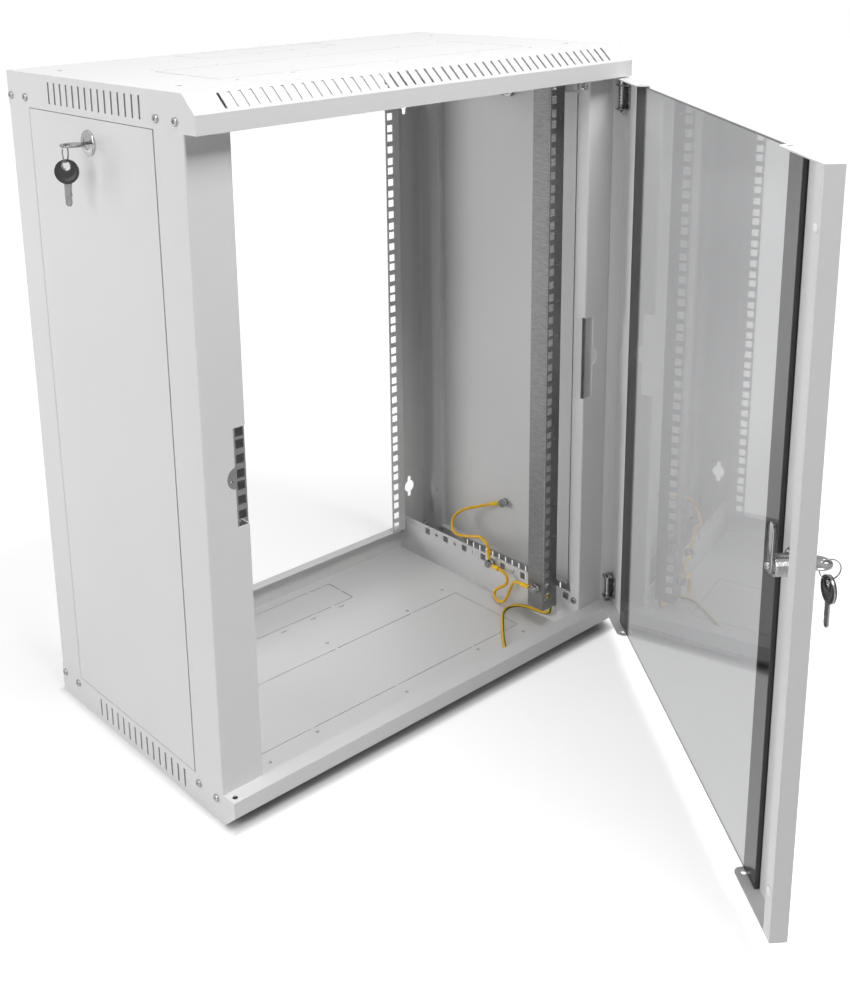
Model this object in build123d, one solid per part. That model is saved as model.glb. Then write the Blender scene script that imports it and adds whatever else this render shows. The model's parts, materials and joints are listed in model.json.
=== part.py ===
from build123d import *
import os
from math import pi, radians, sin, tan

# Wall mount network cabinet for nineteen-inch equipment, fifteen rack units high.
# X runs to the right, Y to the back and Z up. The origin is the centre of the underside.
# The glass door is written closed and then turned to the angle at which it stands open.

# Case
WIDTH = 600.0
DEPTH = 358.0
RACK_UNIT = 44.45
RACK_UNITS = 15
RAIL_END_GAP = 3.125
SHEET = 1.2
BEND_RADIUS = 2.0
JOINT_GAP = 0.75
OVERRUN = 20.0

# Roof and base pans
PAN_HEIGHT = 36.0
CHAMFER_RUN = 19.5
CHAMFER_RISE = 18.0
LEDGE_DEPTH = 20.0
REAR_RETURN = 14.0
SIDE_RETURN = 9.0
SLOT_WIDTH = 3.0
FRONT_SLOT_LENGTH = 19.0
FRONT_SLOT_PITCH = 12.0
FRONT_SLOT_MARGIN = 36.0
SIDE_SLOT_LENGTH = 22.0
SIDE_SLOT_PITCH = 12.5
SIDE_SLOT_MARGIN = 91.5
KNOCKOUT_WIDTH = 424.0
KNOCKOUT_DEPTH = 113.5
KNOCKOUT_SETBACK = 89.0
CABLE_ENTRY_WIDTH = 201.0
CABLE_ENTRY_DEPTH = 51.0
CABLE_ENTRY_INSET = 17.5
SLIT_WIDTH = 1.6
BRIDGE_WIDTH = 4.0
FIXING_HOLE_DIAMETER = 5.0
FIXING_OUTER_X = 204.0
FIXING_INNER_X = 130.0
FIXING_OUTER_OFFSET = 18.5
FIXING_INNER_OFFSET = 9.0
TIE_SLOT_LENGTH = 9.0
TIE_SLOT_SPACING = 49.0
TIE_SLOT_OFFSET = 9.0
FOOT_HOLE_DIAMETER = 7.0
FOOT_SIDE_INSET = 32.0
FOOT_FRONT_INSET = 72.0
FOOT_BACK_INSET = 58.0

# Corner posts
POST_SETBACK = 18.5
POST_FACE = 50.0
POST_RETURN = 14.5
FRONT_STRIP = 52.0
REAR_STRIP = 46.0
LIP_STEP = 10.0
LIP_WIDTH = 14.0
LIP_HOLE_DIAMETER = 4.5
STRIP_SETBACK = 13.0
TAB_DROP = 26.0
TAB_LAP = 14.0
TAB_EDGE_GAP = 3.0
NOTCH_HEIGHT = 103.0
NOTCH_DEPTH = 15.0
NOTCH_BAY_RADIUS = 12.0
NOTCH_BAY_DEPTH = 24.5
KEYHOLE_DIAMETER = 18.0
KEYHOLE_SLOT = 6.5
KEYHOLE_HEIGHT = 32.0
KEYHOLE_SIDE_INSET = 30.0
KEYHOLE_END_INSET = 92.0

# Side bars and rack rails
BAR_SHEET = 1.5
BAR_HEIGHT = 52.8
BAR_END_GAP = 0.8
BAR_HOLE_DROP = 8.0
BAR_HOLE_PITCH = 36.75
BAR_HOLE_MARGIN = 21.0
BAR_ROUND_DIAMETER = 5.5
BAR_STUD_PITCHES = 3.5
BAR_BACK_SCREW_INSET = 6.5
CAGE_HOLE = 9.5
RACK_OPENING_INSET = 75.0
RACK_HOLE_INSET = 7.55
RACK_OPENING = WIDTH - 2 * RACK_OPENING_INSET
RACK_HOLE_SPACING = RACK_OPENING + 2 * RACK_HOLE_INSET
RACK_HOLE_OFFSET = 6.35
RACK_HOLE_STEP = 15.875
RAIL_SETBACK = 56.5
RAIL_DEPTH = 26.0
RAIL_SHEET = 1.5
RAIL_FOOT = 11.0
RAIL_MARK_DIAMETER = 2.5
RAIL_MARK_INSET = 7.5
RAIL_BOLT_RISE = 20.0
RAIL_BOLT_SETBACK = 12.0

# Screws, studs and nuts
SCREW_HEAD_DIAMETER = 8.6
SCREW_HEAD_HEIGHT = 2.4
SCREW_HEAD_ROUND = 1.8
SCREW_DIAMETER = 4.8
SCREW_LENGTH = 8.0
SCREW_HOLE_DIAMETER = 5.4
SCREW_END_INSET = 26.0
SCREW_FRONT_OFFSET = 13.5
SCREW_BACK_OFFSET = 7.0
SCREW_SPACING = 32.0
STUD_DIAMETER = 5.8
STUD_HOLE_DIAMETER = 6.0
STUD_PROUD = 13.0
NUT_ACROSS_FLATS = 10.0
NUT_HEIGHT = 4.5

# Side panels
PANEL_DEPTH = 10.0
PANEL_LOCK_DROP = 25.0
HOOK_DROP = 8.0
HOOK_WIDTH = 30.0
HOOK_INSET = 35.0
PANEL_STUD_HEIGHT = 113.0

# Door
DOOR_OPEN_ANGLE = 53.0
DOOR_SIDE_GAP = 2.0
DOOR_END_GAP = 1.5
DOOR_DEPTH = 16.0
STILE_WIDTH = 93.0
STILE_LIP = 14.0
STILE_TAB_RADIUS = 8.0
STILE_TAB_HOLE = 5.0
STILE_TAB_HOLE_INSET = 8.0
GLASS_THICKNESS = 4.0
GLASS_INSET = 62.5
GLASS_END_GAP = 0.8
TAPE_THICKNESS = 1.0
BUMPER_DIAMETER = 9.0
BUMPER_HEIGHT = 2.2
BUMPER_TAPER = 20.0
BUMPER_END_INSET = 48.0

# Sprung hinge pins
HINGE_SIDE_INSET = 7.0
HINGE_SETBACK = 8.0
PIN_DIAMETER = 5.8
PIN_HOLE_DIAMETER = 6.0
PIN_PROUD = 7.0
PIN_LENGTH = 50.0
PIN_LEVER = 11.0
PIN_LEVER_DIAMETER = 4.0
PIN_COLLAR_DIAMETER = 7.4
PIN_COLLAR_HEIGHT = 2.0
PIN_TRAVEL = 8.0
SPRING_DIAMETER = 7.6
BRACKET_SHEET = 1.5
BRACKET_WIDTH = 19.0
BRACKET_HEIGHT = 29.0
BRACKET_END_INSET = 8.0
BRACKET_EAR_REACH = 13.0
BRACKET_EAR_WIDTH = 11.0

# Cam locks and keys
LOCK_FLANGE_DIAMETER = 26.0
LOCK_FLANGE_HEIGHT = 2.2
LOCK_BARREL_DIAMETER = 19.0
LOCK_HOLE_DIAMETER = 19.6
LOCK_NUT_FLATS = 24.0
LOCK_NUT_HEIGHT = 4.5
DOOR_LOCK_INSET = 38.5
DOOR_BARREL_LENGTH = 19.5
PANEL_BARREL_LENGTH = 16.0
PLUG_DIAMETER = 12.0
PLUG_CLEARANCE = 0.1
PLUG_RECESS = 0.4
PLUG_TAIL = 0.7
CAM_THICKNESS = 2.0
CAM_WIDTH = 10.0
DOOR_CAM_REACH = 38.0
PANEL_CAM_REACH = 34.0
PANEL_CAM_CRANK = 5.4
CAM_HEEL = 7.0
CAM_SCREW_DIAMETER = 7.0
CAM_SCREW_HEIGHT = 3.0
KEY_THICKNESS = 2.0
KEY_BOW_DIAMETER = 24.4
KEY_HOLE_DIAMETER = 7.2
KEY_RIM = 2.4
KEY_BLADE_WIDTH = 7.4
KEY_BLADE_LENGTH = 22.0
KEY_NECK = 4.0
KEY_SLOT_GAP = 0.15
COVER_THICKNESS = 1.0
COVER_HOLE_RIM = 1.2
RING_RADIUS = 9.0
RING_WIRE = 0.8
RING_DROP = 6.45
RING_OFFSET = 5.1
RING_SEAT = 0.1
PANEL_RING_TURN = 45.0

# Earth leads
LEAD_DIAMETER = 4.0
LUG_RING_DIAMETER = 10.5
LUG_THICKNESS = 1.0
LUG_NECK = 2.5
SLEEVE_DIAMETER = 6.4
SLEEVE_LENGTH = 12.0
LEAD_EXIT = 6.0
PANEL_LUG_DIP = 20.0
FOOT_LUG_TILT = 15.0
TAIL_LUG_X = 86.0
TAIL_LUG_SETBACK = 31.0
TAIL_LUG_TURN = 7.0
EARTH_STUD_SETBACK = 9.5
EARTH_STUD_RISE = 19.0
LEAD_SHARE = 0.45

# Leads' routes, as shares of half the width, the depth and the height of a side bar
PANEL_LEAD_SHARES = (
    (0.9560, 0.1341, 1.8617),
    (0.9410, 0.1782, 1.7424),
    (0.9280, 0.2212, 1.6023),
    (0.9103, 0.2517, 1.3693),
    (0.8823, 0.2366, 1.1155),
    (0.8580, 0.1939, 1.0966),
    (0.8420, 0.1483, 1.1856),
    (0.8293, 0.1036, 1.2955),
    (0.8183, 0.0615, 1.4242),
    (0.8113, 0.0154, 1.5265),
)
RAIL_LEAD_SHARES = (
    (0.8037, -0.1235, 0.7955),
    (0.8007, -0.1296, 0.6288),
    (0.7977, -0.1106, 0.4924),
    (0.7943, -0.0894, 0.3939),
    (0.7900, -0.0715, 0.2765),
    (0.7843, -0.0726, 0.1364),
    (0.7793, -0.0933, 0.0758),
    (0.7743, -0.1156, 0.1004),
    (0.7693, -0.1352, 0.1875),
    (0.7653, -0.1500, 0.3144),
    (0.7610, -0.1620, 0.4564),
    (0.7563, -0.1732, 0.6023),
    (0.7507, -0.1846, 0.7443),
    (0.7447, -0.1964, 0.8883),
    (0.7360, -0.2123, 1.0133),
)
TAIL_LEAD_SHARES = (
    (0.8203, -0.3196, 0.2614),
    (0.8220, -0.2877, 0.1932),
    (0.8220, -0.2500, 0.1667),
    (0.8200, -0.2109, 0.1477),
    (0.8040, -0.1746, 0.1212),
    (0.7667, -0.1564, 0.0947),
    (0.7200, -0.1690, 0.0777),
    (0.6753, -0.2028, 0.0701),
    (0.6267, -0.2425, 0.0663),
    (0.5787, -0.2821, 0.0682),
    (0.5347, -0.3229, 0.0663),
    (0.4913, -0.3631, 0.0682),
    (0.4433, -0.3899, 0.0739),
)

HEIGHT = RACK_UNITS * RACK_UNIT + 2 * (PAN_HEIGHT + RAIL_END_GAP)
FRONT = -DEPTH / 2
BACK = DEPTH / 2
SIDE = WIDTH / 2
MIDDLE = Plane.XY.offset(HEIGHT / 2)


def block(x_span, y_span, z_span):
    """Solid box between two corners."""
    spans = (x_span, y_span, z_span)
    size = [high - low for low, high in spans]
    centre = [(high + low) / 2 for low, high in spans]
    return Pos(*centre) * Box(*size)


def cylinder_along(axis, centre, diameter, length):
    """Round bar with its middle at centre and its length along axis."""
    plane = Plane(origin=centre, z_dir=axis)
    return extrude(plane * Circle(diameter / 2), amount=length / 2, both=True)


def bent_sheet(points, thickness, low, high, radius, side):
    """Sheet folded along a plan path, standing from low to high, with its thickness on one side."""
    path = FilletPolyline(*points, radius=radius)
    outline = offset(path, amount=thickness, side=side, kind=Kind.INTERSECTION, closed=True)
    return extrude(Pos(0, 0, low) * make_face(outline.edges()), amount=high - low)


def row(count, pitch):
    """Places of a centred row of holes."""
    return [(index - (count - 1) / 2) * pitch for index in range(count)]


def slit_frame(width, depth, centre_y, bridges_x, bridges_y):
    """Cuts of a knock-out: a thin rectangular slit with bridges left across it."""
    outer = Rectangle(width + SLIT_WIDTH, depth + SLIT_WIDTH)
    inner = Rectangle(width - SLIT_WIDTH, depth - SLIT_WIDTH)
    keep = [Pos(x, 0) * Rectangle(BRIDGE_WIDTH, depth + OVERRUN) for x in bridges_x]
    keep += [Pos(0, y) * Rectangle(width + OVERRUN, BRIDGE_WIDTH) for y in bridges_y]
    return extrude(Pos(0, centre_y) * (outer - inner - keep), amount=SHEET, both=True)


def front_slots():
    """Row of vent slots square to the sloping front of a pan."""
    count = int((WIDTH - 2 * FRONT_SLOT_MARGIN) / FRONT_SLOT_PITCH) + 1
    normal = Vector(0, -CHAMFER_RISE, -CHAMFER_RUN)
    middle = (0, FRONT + CHAMFER_RUN / 2, CHAMFER_RISE / 2)
    slope = Plane(origin=middle, x_dir=(1, 0, 0), z_dir=normal)
    shape = Rectangle(SLOT_WIDTH, FRONT_SLOT_LENGTH)
    slots = [slope * Pos(x, 0) * shape for x in row(count, FRONT_SLOT_PITCH)]
    return [extrude(slot, amount=3 * SHEET, both=True) for slot in slots]


def side_slots():
    """Rows of upright vent slots in both side flanges of a pan."""
    count = int((DEPTH - 2 * SIDE_SLOT_MARGIN) / SIDE_SLOT_PITCH) + 1
    low = (PAN_HEIGHT - SIDE_SLOT_LENGTH) / 2
    return [
        block(
            (-SIDE - OVERRUN, SIDE + OVERRUN),
            (y - SLOT_WIDTH / 2, y + SLOT_WIDTH / 2),
            (low, low + SIDE_SLOT_LENGTH),
        )
        for y in row(count, SIDE_SLOT_PITCH)
    ]


def plate_holes():
    """Round holes and tie slots through the flat of a pan."""
    knock_y = FRONT + KNOCKOUT_SETBACK + KNOCKOUT_DEPTH / 2
    places = []
    for side in (-1, 1):
        outer_y = knock_y + side * (KNOCKOUT_DEPTH / 2 + FIXING_OUTER_OFFSET)
        inner_y = knock_y + side * (KNOCKOUT_DEPTH / 2 + FIXING_INNER_OFFSET)
        places += [(x, outer_y) for x in (-FIXING_OUTER_X, 0, FIXING_OUTER_X)]
        places += [(x, inner_y) for x in (-FIXING_INNER_X, FIXING_INNER_X)]
    holes = [Pos(x, y) * Circle(FIXING_HOLE_DIAMETER / 2) for x, y in places]
    for x in (-SIDE + FOOT_SIDE_INSET, SIDE - FOOT_SIDE_INSET):
        for y in (FRONT + FOOT_FRONT_INSET, BACK - FOOT_BACK_INSET):
            holes.append(Pos(x, y) * Circle(FOOT_HOLE_DIAMETER / 2))
    tie_y = BACK - CABLE_ENTRY_INSET - CABLE_ENTRY_DEPTH - TIE_SLOT_OFFSET
    for x in row(4, TIE_SLOT_SPACING):
        holes.append(Pos(x, tie_y) * SlotOverall(TIE_SLOT_LENGTH, SLOT_WIDTH))
    return [extrude(hole, amount=SHEET, both=True) for hole in holes]


def corner_screw_places():
    """Centres, in Y, of the screws through a side flange."""
    front = FRONT + POST_SETBACK + SCREW_FRONT_OFFSET
    back = BACK - SCREW_BACK_OFFSET
    return (front, front + SCREW_SPACING, back - SCREW_SPACING, back)


def screw_holes(z):
    """Clearance holes for the corner screws, through both sides of the case."""
    return [
        cylinder_along((1, 0, 0), (0, y, z), SCREW_HOLE_DIAMETER, WIDTH + OVERRUN)
        for y in corner_screw_places()
    ]


def pan():
    """Base pan: folded tray with a sloping front, ledges all round and knock-outs in its floor."""
    outline = Polyline(
        (FRONT + CHAMFER_RUN, 0),
        (BACK, 0),
        (BACK, PAN_HEIGHT),
        (FRONT, PAN_HEIGHT),
        (FRONT, CHAMFER_RISE),
        close=True,
    )
    solid = extrude(Plane.YZ * make_face(outline), amount=SIDE, both=True)
    mouth = solid.faces().sort_by(Axis.Z)[-1]
    tray = offset(solid, amount=-SHEET, openings=[mouth])
    top = (PAN_HEIGHT - SHEET, PAN_HEIGHT)
    inner = SIDE - SHEET
    tray += block((-inner, inner), (FRONT + SHEET, FRONT + LEDGE_DEPTH), top)
    rear_half = SIDE - POST_FACE - JOINT_GAP
    tray += block((-rear_half, rear_half), (BACK - REAR_RETURN, BACK - SHEET), top)
    between = (FRONT + POST_SETBACK + FRONT_STRIP + JOINT_GAP, BACK - REAR_STRIP - JOINT_GAP)
    for low, high in ((SIDE - SIDE_RETURN, inner), (-inner, SIDE_RETURN - SIDE)):
        tray += block((low, high), between, top)
    cuts = front_slots() + side_slots() + plate_holes() + screw_holes(SCREW_END_INSET)
    knock_y = FRONT + KNOCKOUT_SETBACK + KNOCKOUT_DEPTH / 2
    entry_y = BACK - CABLE_ENTRY_INSET - CABLE_ENTRY_DEPTH / 2
    cuts.append(slit_frame(KNOCKOUT_WIDTH, KNOCKOUT_DEPTH, knock_y, row(3, FIXING_INNER_X), [0]))
    cuts.append(slit_frame(CABLE_ENTRY_WIDTH, CABLE_ENTRY_DEPTH, entry_y, row(2, FIXING_INNER_X), [0]))
    for x in (-SIDE + HINGE_SIDE_INSET, SIDE - HINGE_SIDE_INSET):
        centre = (x, FRONT + HINGE_SETBACK, PAN_HEIGHT)
        cuts.append(cylinder_along((0, 0, 1), centre, PIN_HOLE_DIAMETER, 2 * BEND_RADIUS + SHEET))
    return tray - cuts


def tabs(y_span, low):
    """Tab that reaches from the foot of a post down behind the side flange of a pan."""
    return block(
        (SIDE - 2 * SHEET, SIDE - SHEET),
        (y_span[0] + TAB_EDGE_GAP, y_span[1] - TAB_EDGE_GAP),
        (low - TAB_DROP, low + TAB_LAP),
    )


def front_post():
    """Right front post: face with the lock notch, side strip and stepped lip beside the panel."""
    face_y = FRONT + POST_SETBACK
    strip_y = face_y + FRONT_STRIP
    edge_x = SIDE - POST_FACE
    lip_x = SIDE - LIP_STEP
    path = [
        (edge_x, face_y + POST_RETURN),
        (edge_x, face_y),
        (SIDE, face_y),
        (SIDE, strip_y),
        (lip_x, strip_y),
        (lip_x, strip_y - LIP_WIDTH),
    ]
    post = bent_sheet(path, SHEET, PAN_HEIGHT, HEIGHT - PAN_HEIGHT, BEND_RADIUS, Side.RIGHT)
    foot = tabs((face_y, strip_y), PAN_HEIGHT)
    post += foot
    post += mirror(foot, about=MIDDLE)
    deep = (face_y - SHEET, face_y + POST_RETURN + SHEET)
    middle = HEIGHT / 2
    half = NOTCH_HEIGHT / 2
    notch = block((edge_x - SHEET, edge_x + NOTCH_DEPTH), deep, (middle - half, middle + half))
    bay_x = edge_x + NOTCH_BAY_DEPTH - NOTCH_BAY_RADIUS
    reach = (bay_x, face_y, middle)
    bay = cylinder_along((0, 1, 0), reach, 2 * NOTCH_BAY_RADIUS, 2 * POST_RETURN)
    cuts = [notch, bay] + screw_holes(SCREW_END_INSET) + screw_holes(HEIGHT - SCREW_END_INSET)
    cuts += [bar_screw_hole(bar_front_screw_y(), z) for z in bar_hole_heights()]
    return post - cuts


def keyhole():
    """Wall hanging hole: a round middle with a slot above and below it."""
    shape = Circle(KEYHOLE_DIAMETER / 2) + Rot(0, 0, 90) * SlotOverall(KEYHOLE_HEIGHT, KEYHOLE_SLOT)
    return shape


def rack_hole_heights():
    """Heights of the three square holes of every rack unit."""
    first = PAN_HEIGHT + RAIL_END_GAP + RACK_HOLE_OFFSET
    return [
        first + unit * RACK_UNIT + step * RACK_HOLE_STEP
        for unit in range(RACK_UNITS)
        for step in range(3)
    ]


def rack_holes(y):
    """Square holes for cage nuts up a strip that faces the front."""
    x = RACK_HOLE_SPACING / 2
    half = CAGE_HOLE / 2
    return [
        block((x - half, x + half), (y - SHEET, y + 3 * SHEET), (z - half, z + half))
        for z in rack_hole_heights()
    ]


def rear_post():
    """Right rear post: lip, side strip, wall flange with keyholes and the rear rack strip."""
    strip_y = BACK - REAR_STRIP
    edge_x = SIDE - POST_FACE
    lip_x = SIDE - LIP_STEP
    rack_y = BACK - STRIP_SETBACK
    path = [
        (lip_x, strip_y + LIP_WIDTH),
        (lip_x, strip_y),
        (SIDE, strip_y),
        (SIDE, BACK),
        (edge_x, BACK),
        (edge_x, rack_y),
        (RACK_OPENING / 2, rack_y),
    ]
    post = bent_sheet(path, SHEET, PAN_HEIGHT, HEIGHT - PAN_HEIGHT, BEND_RADIUS, Side.RIGHT)
    foot = tabs((strip_y, BACK), PAN_HEIGHT)
    post += foot
    post += mirror(foot, about=MIDDLE)
    cuts = rack_holes(rack_y - SHEET) + screw_holes(SCREW_END_INSET)
    cuts += screw_holes(HEIGHT - SCREW_END_INSET)
    cuts += [bar_screw_hole(bar_back_screw_y(), z) for z in bar_hole_heights()]
    for z in (KEYHOLE_END_INSET, HEIGHT - KEYHOLE_END_INSET):
        wall = Plane(origin=(SIDE - KEYHOLE_SIDE_INSET, BACK, z), x_dir=(1, 0, 0), z_dir=(0, -1, 0))
        cuts.append(extrude(wall * keyhole(), amount=2 * SHEET, both=True))
        lip_centre = (lip_x, strip_y + LIP_WIDTH / 2, z)
        cuts.append(cylinder_along((1, 0, 0), lip_centre, LIP_HOLE_DIAMETER, 4 * SHEET))
    return post - cuts


def bar_inner_x():
    """Face of a side bar that looks into the cabinet, against the posts' return flanges."""
    return SIDE - POST_FACE + SHEET


def bar_hole_heights():
    """Heights of the rows of holes in the lower and upper bars."""
    low = SHEET + BAR_HEIGHT - BAR_HOLE_DROP
    return (low, HEIGHT - low)


def bar_front_y():
    """Front end of a side bar, just behind the ledge."""
    return FRONT + LEDGE_DEPTH + BAR_END_GAP


def bar_back_y():
    """Back end of a side bar, just ahead of the wall flange."""
    return BACK - SHEET - BAR_END_GAP


def bar_front_screw_y():
    """Screw between a bar and the front post's return flange."""
    return FRONT + POST_SETBACK + POST_RETURN / 2 + SHEET


def bar_back_screw_y():
    """Screw between a bar and the rear post's step."""
    return BACK - BAR_BACK_SCREW_INSET


def bar_screw_hole(y, z):
    """Hole through a bar and the post flange beside it."""
    return cylinder_along((1, 0, 0), (bar_inner_x(), y, z), SCREW_HOLE_DIAMETER, 3 * (SHEET + BAR_SHEET))


def rail_bolt_place():
    """Centre of the bolt that holds the foot of a rail to its bar."""
    y = FRONT + RAIL_SETBACK + RAIL_BOLT_SETBACK
    z = PAN_HEIGHT + RAIL_END_GAP - RAIL_FOOT + RAIL_BOLT_RISE
    return y, z


def side_bar():
    """Lower right side bar: upright plate with square and round holes in turn."""
    inner = bar_inner_x()
    bar = block((inner, inner + BAR_SHEET), (bar_front_y(), bar_back_y()), (SHEET, SHEET + BAR_HEIGHT))
    hole_z = bar_hole_heights()[0]
    length = bar_back_y() - bar_front_y()
    count = int((length - 2 * BAR_HOLE_MARGIN) / BAR_HOLE_PITCH) + 1
    half = CAGE_HOLE / 2
    first = bar_front_y() + BAR_HOLE_MARGIN
    cuts = []
    for index in range(count):
        y = first + index * BAR_HOLE_PITCH
        cuts.append(block((inner - SHEET, inner + 2 * BAR_SHEET), (y - half, y + half), (hole_z - half, hole_z + half)))
        if index < count - 1:
            centre = (inner, y + BAR_HOLE_PITCH / 2, hole_z)
            cuts.append(cylinder_along((1, 0, 0), centre, BAR_ROUND_DIAMETER, 4 * BAR_SHEET))
    cuts += [bar_screw_hole(y, hole_z) for y in (bar_front_screw_y(), bar_back_screw_y())]
    cuts += [bar_screw_hole(*rail_bolt_place()), bar_stud_hole()]
    return bar - cuts


def bar_stud_place():
    """Centre of the earth stud on the lower right bar: a round hole near its middle."""
    first = bar_front_y() + BAR_HOLE_MARGIN
    return bar_inner_x(), first + BAR_STUD_PITCHES * BAR_HOLE_PITCH, bar_hole_heights()[0]


def bar_stud_hole():
    """Hole of the earth stud, opened to the stud's size."""
    return cylinder_along((1, 0, 0), bar_stud_place(), STUD_HOLE_DIAMETER, 4 * BAR_SHEET)


def rail_stud_place():
    """Centre of the earth stud on the inner web of the right rail."""
    z = PAN_HEIGHT + RAIL_END_GAP + EARTH_STUD_RISE
    return RACK_OPENING / 2, FRONT + RAIL_SETBACK + EARTH_STUD_SETBACK, z


def rack_rail(with_stud):
    """Right front rack rail: channel with square holes, open to the back."""
    front = FRONT + RAIL_SETBACK
    inner = RACK_OPENING / 2
    outer = bar_inner_x()
    low = PAN_HEIGHT + RAIL_END_GAP - RAIL_FOOT
    path = [(inner, front + RAIL_DEPTH), (inner, front), (outer, front), (outer, front + RAIL_DEPTH)]
    rail = bent_sheet(path, RAIL_SHEET, low, HEIGHT - low, BEND_RADIUS, Side.LEFT)
    cuts = rack_holes(front)
    mark_x = outer - RAIL_MARK_INSET
    for unit in range(1, RACK_UNITS):
        z = PAN_HEIGHT + RAIL_END_GAP + unit * RACK_UNIT
        cuts.append(cylinder_along((0, 1, 0), (mark_x, front, z), RAIL_MARK_DIAMETER, 4 * RAIL_SHEET))
    bolt_y, bolt_z = rail_bolt_place()
    cuts += [bar_screw_hole(bolt_y, z) for z in (bolt_z, HEIGHT - bolt_z)]
    if with_stud:
        cuts.append(cylinder_along((1, 0, 0), rail_stud_place(), STUD_HOLE_DIAMETER, 4 * RAIL_SHEET))
    return rail - cuts


def pan_head_screw(length):
    """Screw along +Z from its seat: a rounded pan head above and a round shank below."""
    head = extrude(Circle(SCREW_HEAD_DIAMETER / 2), amount=SCREW_HEAD_HEIGHT)
    head = fillet(head.faces().sort_by(Axis.Z)[-1].edges(), SCREW_HEAD_ROUND)
    return head + extrude(Circle(SCREW_DIAMETER / 2), amount=-length)


def hex_nut(flats, height, hole):
    """Hexagon nut standing on the XY plane."""
    outline = RegularPolygon(radius=flats / 2, side_count=6, major_radius=False)
    return extrude(outline - Circle(hole / 2), amount=height)


def place(shape, origin, z_dir, x_dir):
    """Shape moved from its own frame to a plane of the cabinet."""
    return Plane(origin=origin, x_dir=x_dir, z_dir=z_dir) * shape


def corner_screws():
    """Sixteen screws that hold the pans' side flanges to the posts."""
    screw = pan_head_screw(SCREW_LENGTH)
    screws = []
    for side in (-1, 1):
        for z in (SCREW_END_INSET, HEIGHT - SCREW_END_INSET):
            for y in corner_screw_places():
                screws.append(place(screw, (side * SIDE, y, z), (side, 0, 0), (0, side, 0)))
    return Compound(screws)


def bar_screws():
    """Eight screws that hold the side bars to the posts, heads inside the cabinet."""
    screw = pan_head_screw(SCREW_LENGTH)
    seat = SIDE - POST_FACE
    screws = []
    for side in (-1, 1):
        for z in bar_hole_heights():
            for y in (bar_front_screw_y(), bar_back_screw_y()):
                screws.append(place(screw, (side * seat, y, z), (-side, 0, 0), (0, -side, 0)))
    return Compound(screws)


def rail_bolts():
    """Four bolts with nuts that hold the rails to the side bars, heads in the rails' channels."""
    seat = bar_inner_x() - RAIL_SHEET
    y, low = rail_bolt_place()
    under_lug = RAIL_SHEET + BAR_SHEET + NUT_HEIGHT + LUG_THICKNESS
    screw = pan_head_screw(under_lug)
    nut = hex_nut(NUT_ACROSS_FLATS, NUT_HEIGHT, SCREW_HOLE_DIAMETER)
    parts = []
    for side in (-1, 1):
        for z in (low, HEIGHT - low):
            with_lug = side > 0 and z == low
            head_x = seat - (LUG_THICKNESS if with_lug else 0)
            nut_x = bar_inner_x() + BAR_SHEET
            parts.append(place(screw, (side * head_x, y, z), (-side, 0, 0), (0, -side, 0)))
            parts.append(place(nut, (side * nut_x, y, z), (side, 0, 0), (0, side, 0)))
    return Compound([solid for part in parts for solid in part.solids()])


def earth_stud(origin, lugs):
    """Stud along -X through its hole, with one nut under the lugs and one over them."""
    stack = NUT_HEIGHT + lugs * LUG_THICKNESS + NUT_HEIGHT
    back_length = 2 * BAR_SHEET
    stud = cylinder_along((-1, 0, 0), (0, 0, 0), STUD_DIAMETER, stack + back_length + SHEET)
    stud = Pos((back_length - stack - SHEET) / 2, 0, 0) * stud
    nut = hex_nut(NUT_ACROSS_FLATS, NUT_HEIGHT, STUD_DIAMETER)
    low_nut = place(nut, (0, 0, 0), (-1, 0, 0), (0, -1, 0))
    high_nut = Pos(-NUT_HEIGHT - lugs * LUG_THICKNESS, 0, 0) * low_nut
    x, y, z = origin
    return Pos(x, y, z) * Compound([stud + low_nut + high_nut])


def lug_plane(origin, lift, direction):
    """Frame of a lug on a stud that points along -X: X along its sleeve, Z off the stud's seat."""
    x, y, z = origin
    return Plane(origin=(x - lift, y, z), x_dir=direction, z_dir=(-1, 0, 0))


def sleeve_start():
    """Distance from a lug's ring centre to the near end of its sleeve."""
    return LUG_RING_DIAMETER / 2 + LUG_NECK


def sleeve_lift():
    """Height of a sleeve's middle above the seat of its ring."""
    return LUG_THICKNESS / 2 + SLEEVE_DIAMETER / 2


def ring_lug(plane):
    """Ring terminal: a flat ring with a neck, crimped into an insulating sleeve."""
    neck_width = SLEEVE_DIAMETER * 2 / 3
    flat = Circle(LUG_RING_DIAMETER / 2)
    flat += Pos(sleeve_start() / 2, 0) * Rectangle(sleeve_start(), neck_width)
    flat -= Circle(STUD_HOLE_DIAMETER / 2)
    return plane * extrude(flat, amount=LUG_THICKNESS)


def lug_sleeve(plane):
    """Insulating sleeve of a ring terminal, with a rounded far end."""
    start = Plane(origin=(sleeve_start(), 0, sleeve_lift()), x_dir=(0, 0, 1), z_dir=(1, 0, 0))
    return plane * extrude(start * Circle(SLEEVE_DIAMETER / 2), amount=SLEEVE_LENGTH)


def sleeve_end(plane, reach):
    """Point on a sleeve's axis, as far past its end as reach."""
    point = plane.from_local_coords((sleeve_start() + SLEEVE_LENGTH + reach, 0, sleeve_lift()))
    return (point.X, point.Y, point.Z)


def route(start, shares, end):
    """Points of a lead: straight out of one sleeve, along its table, and straight into the other."""
    points = [sleeve_end(start, 0), sleeve_end(start, LEAD_EXIT)]
    points += [(x * SIDE, y * DEPTH, z * BAR_HEIGHT) for x, y, z in shares]
    return points + [sleeve_end(end, LEAD_EXIT), sleeve_end(end, 0)]


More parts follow.
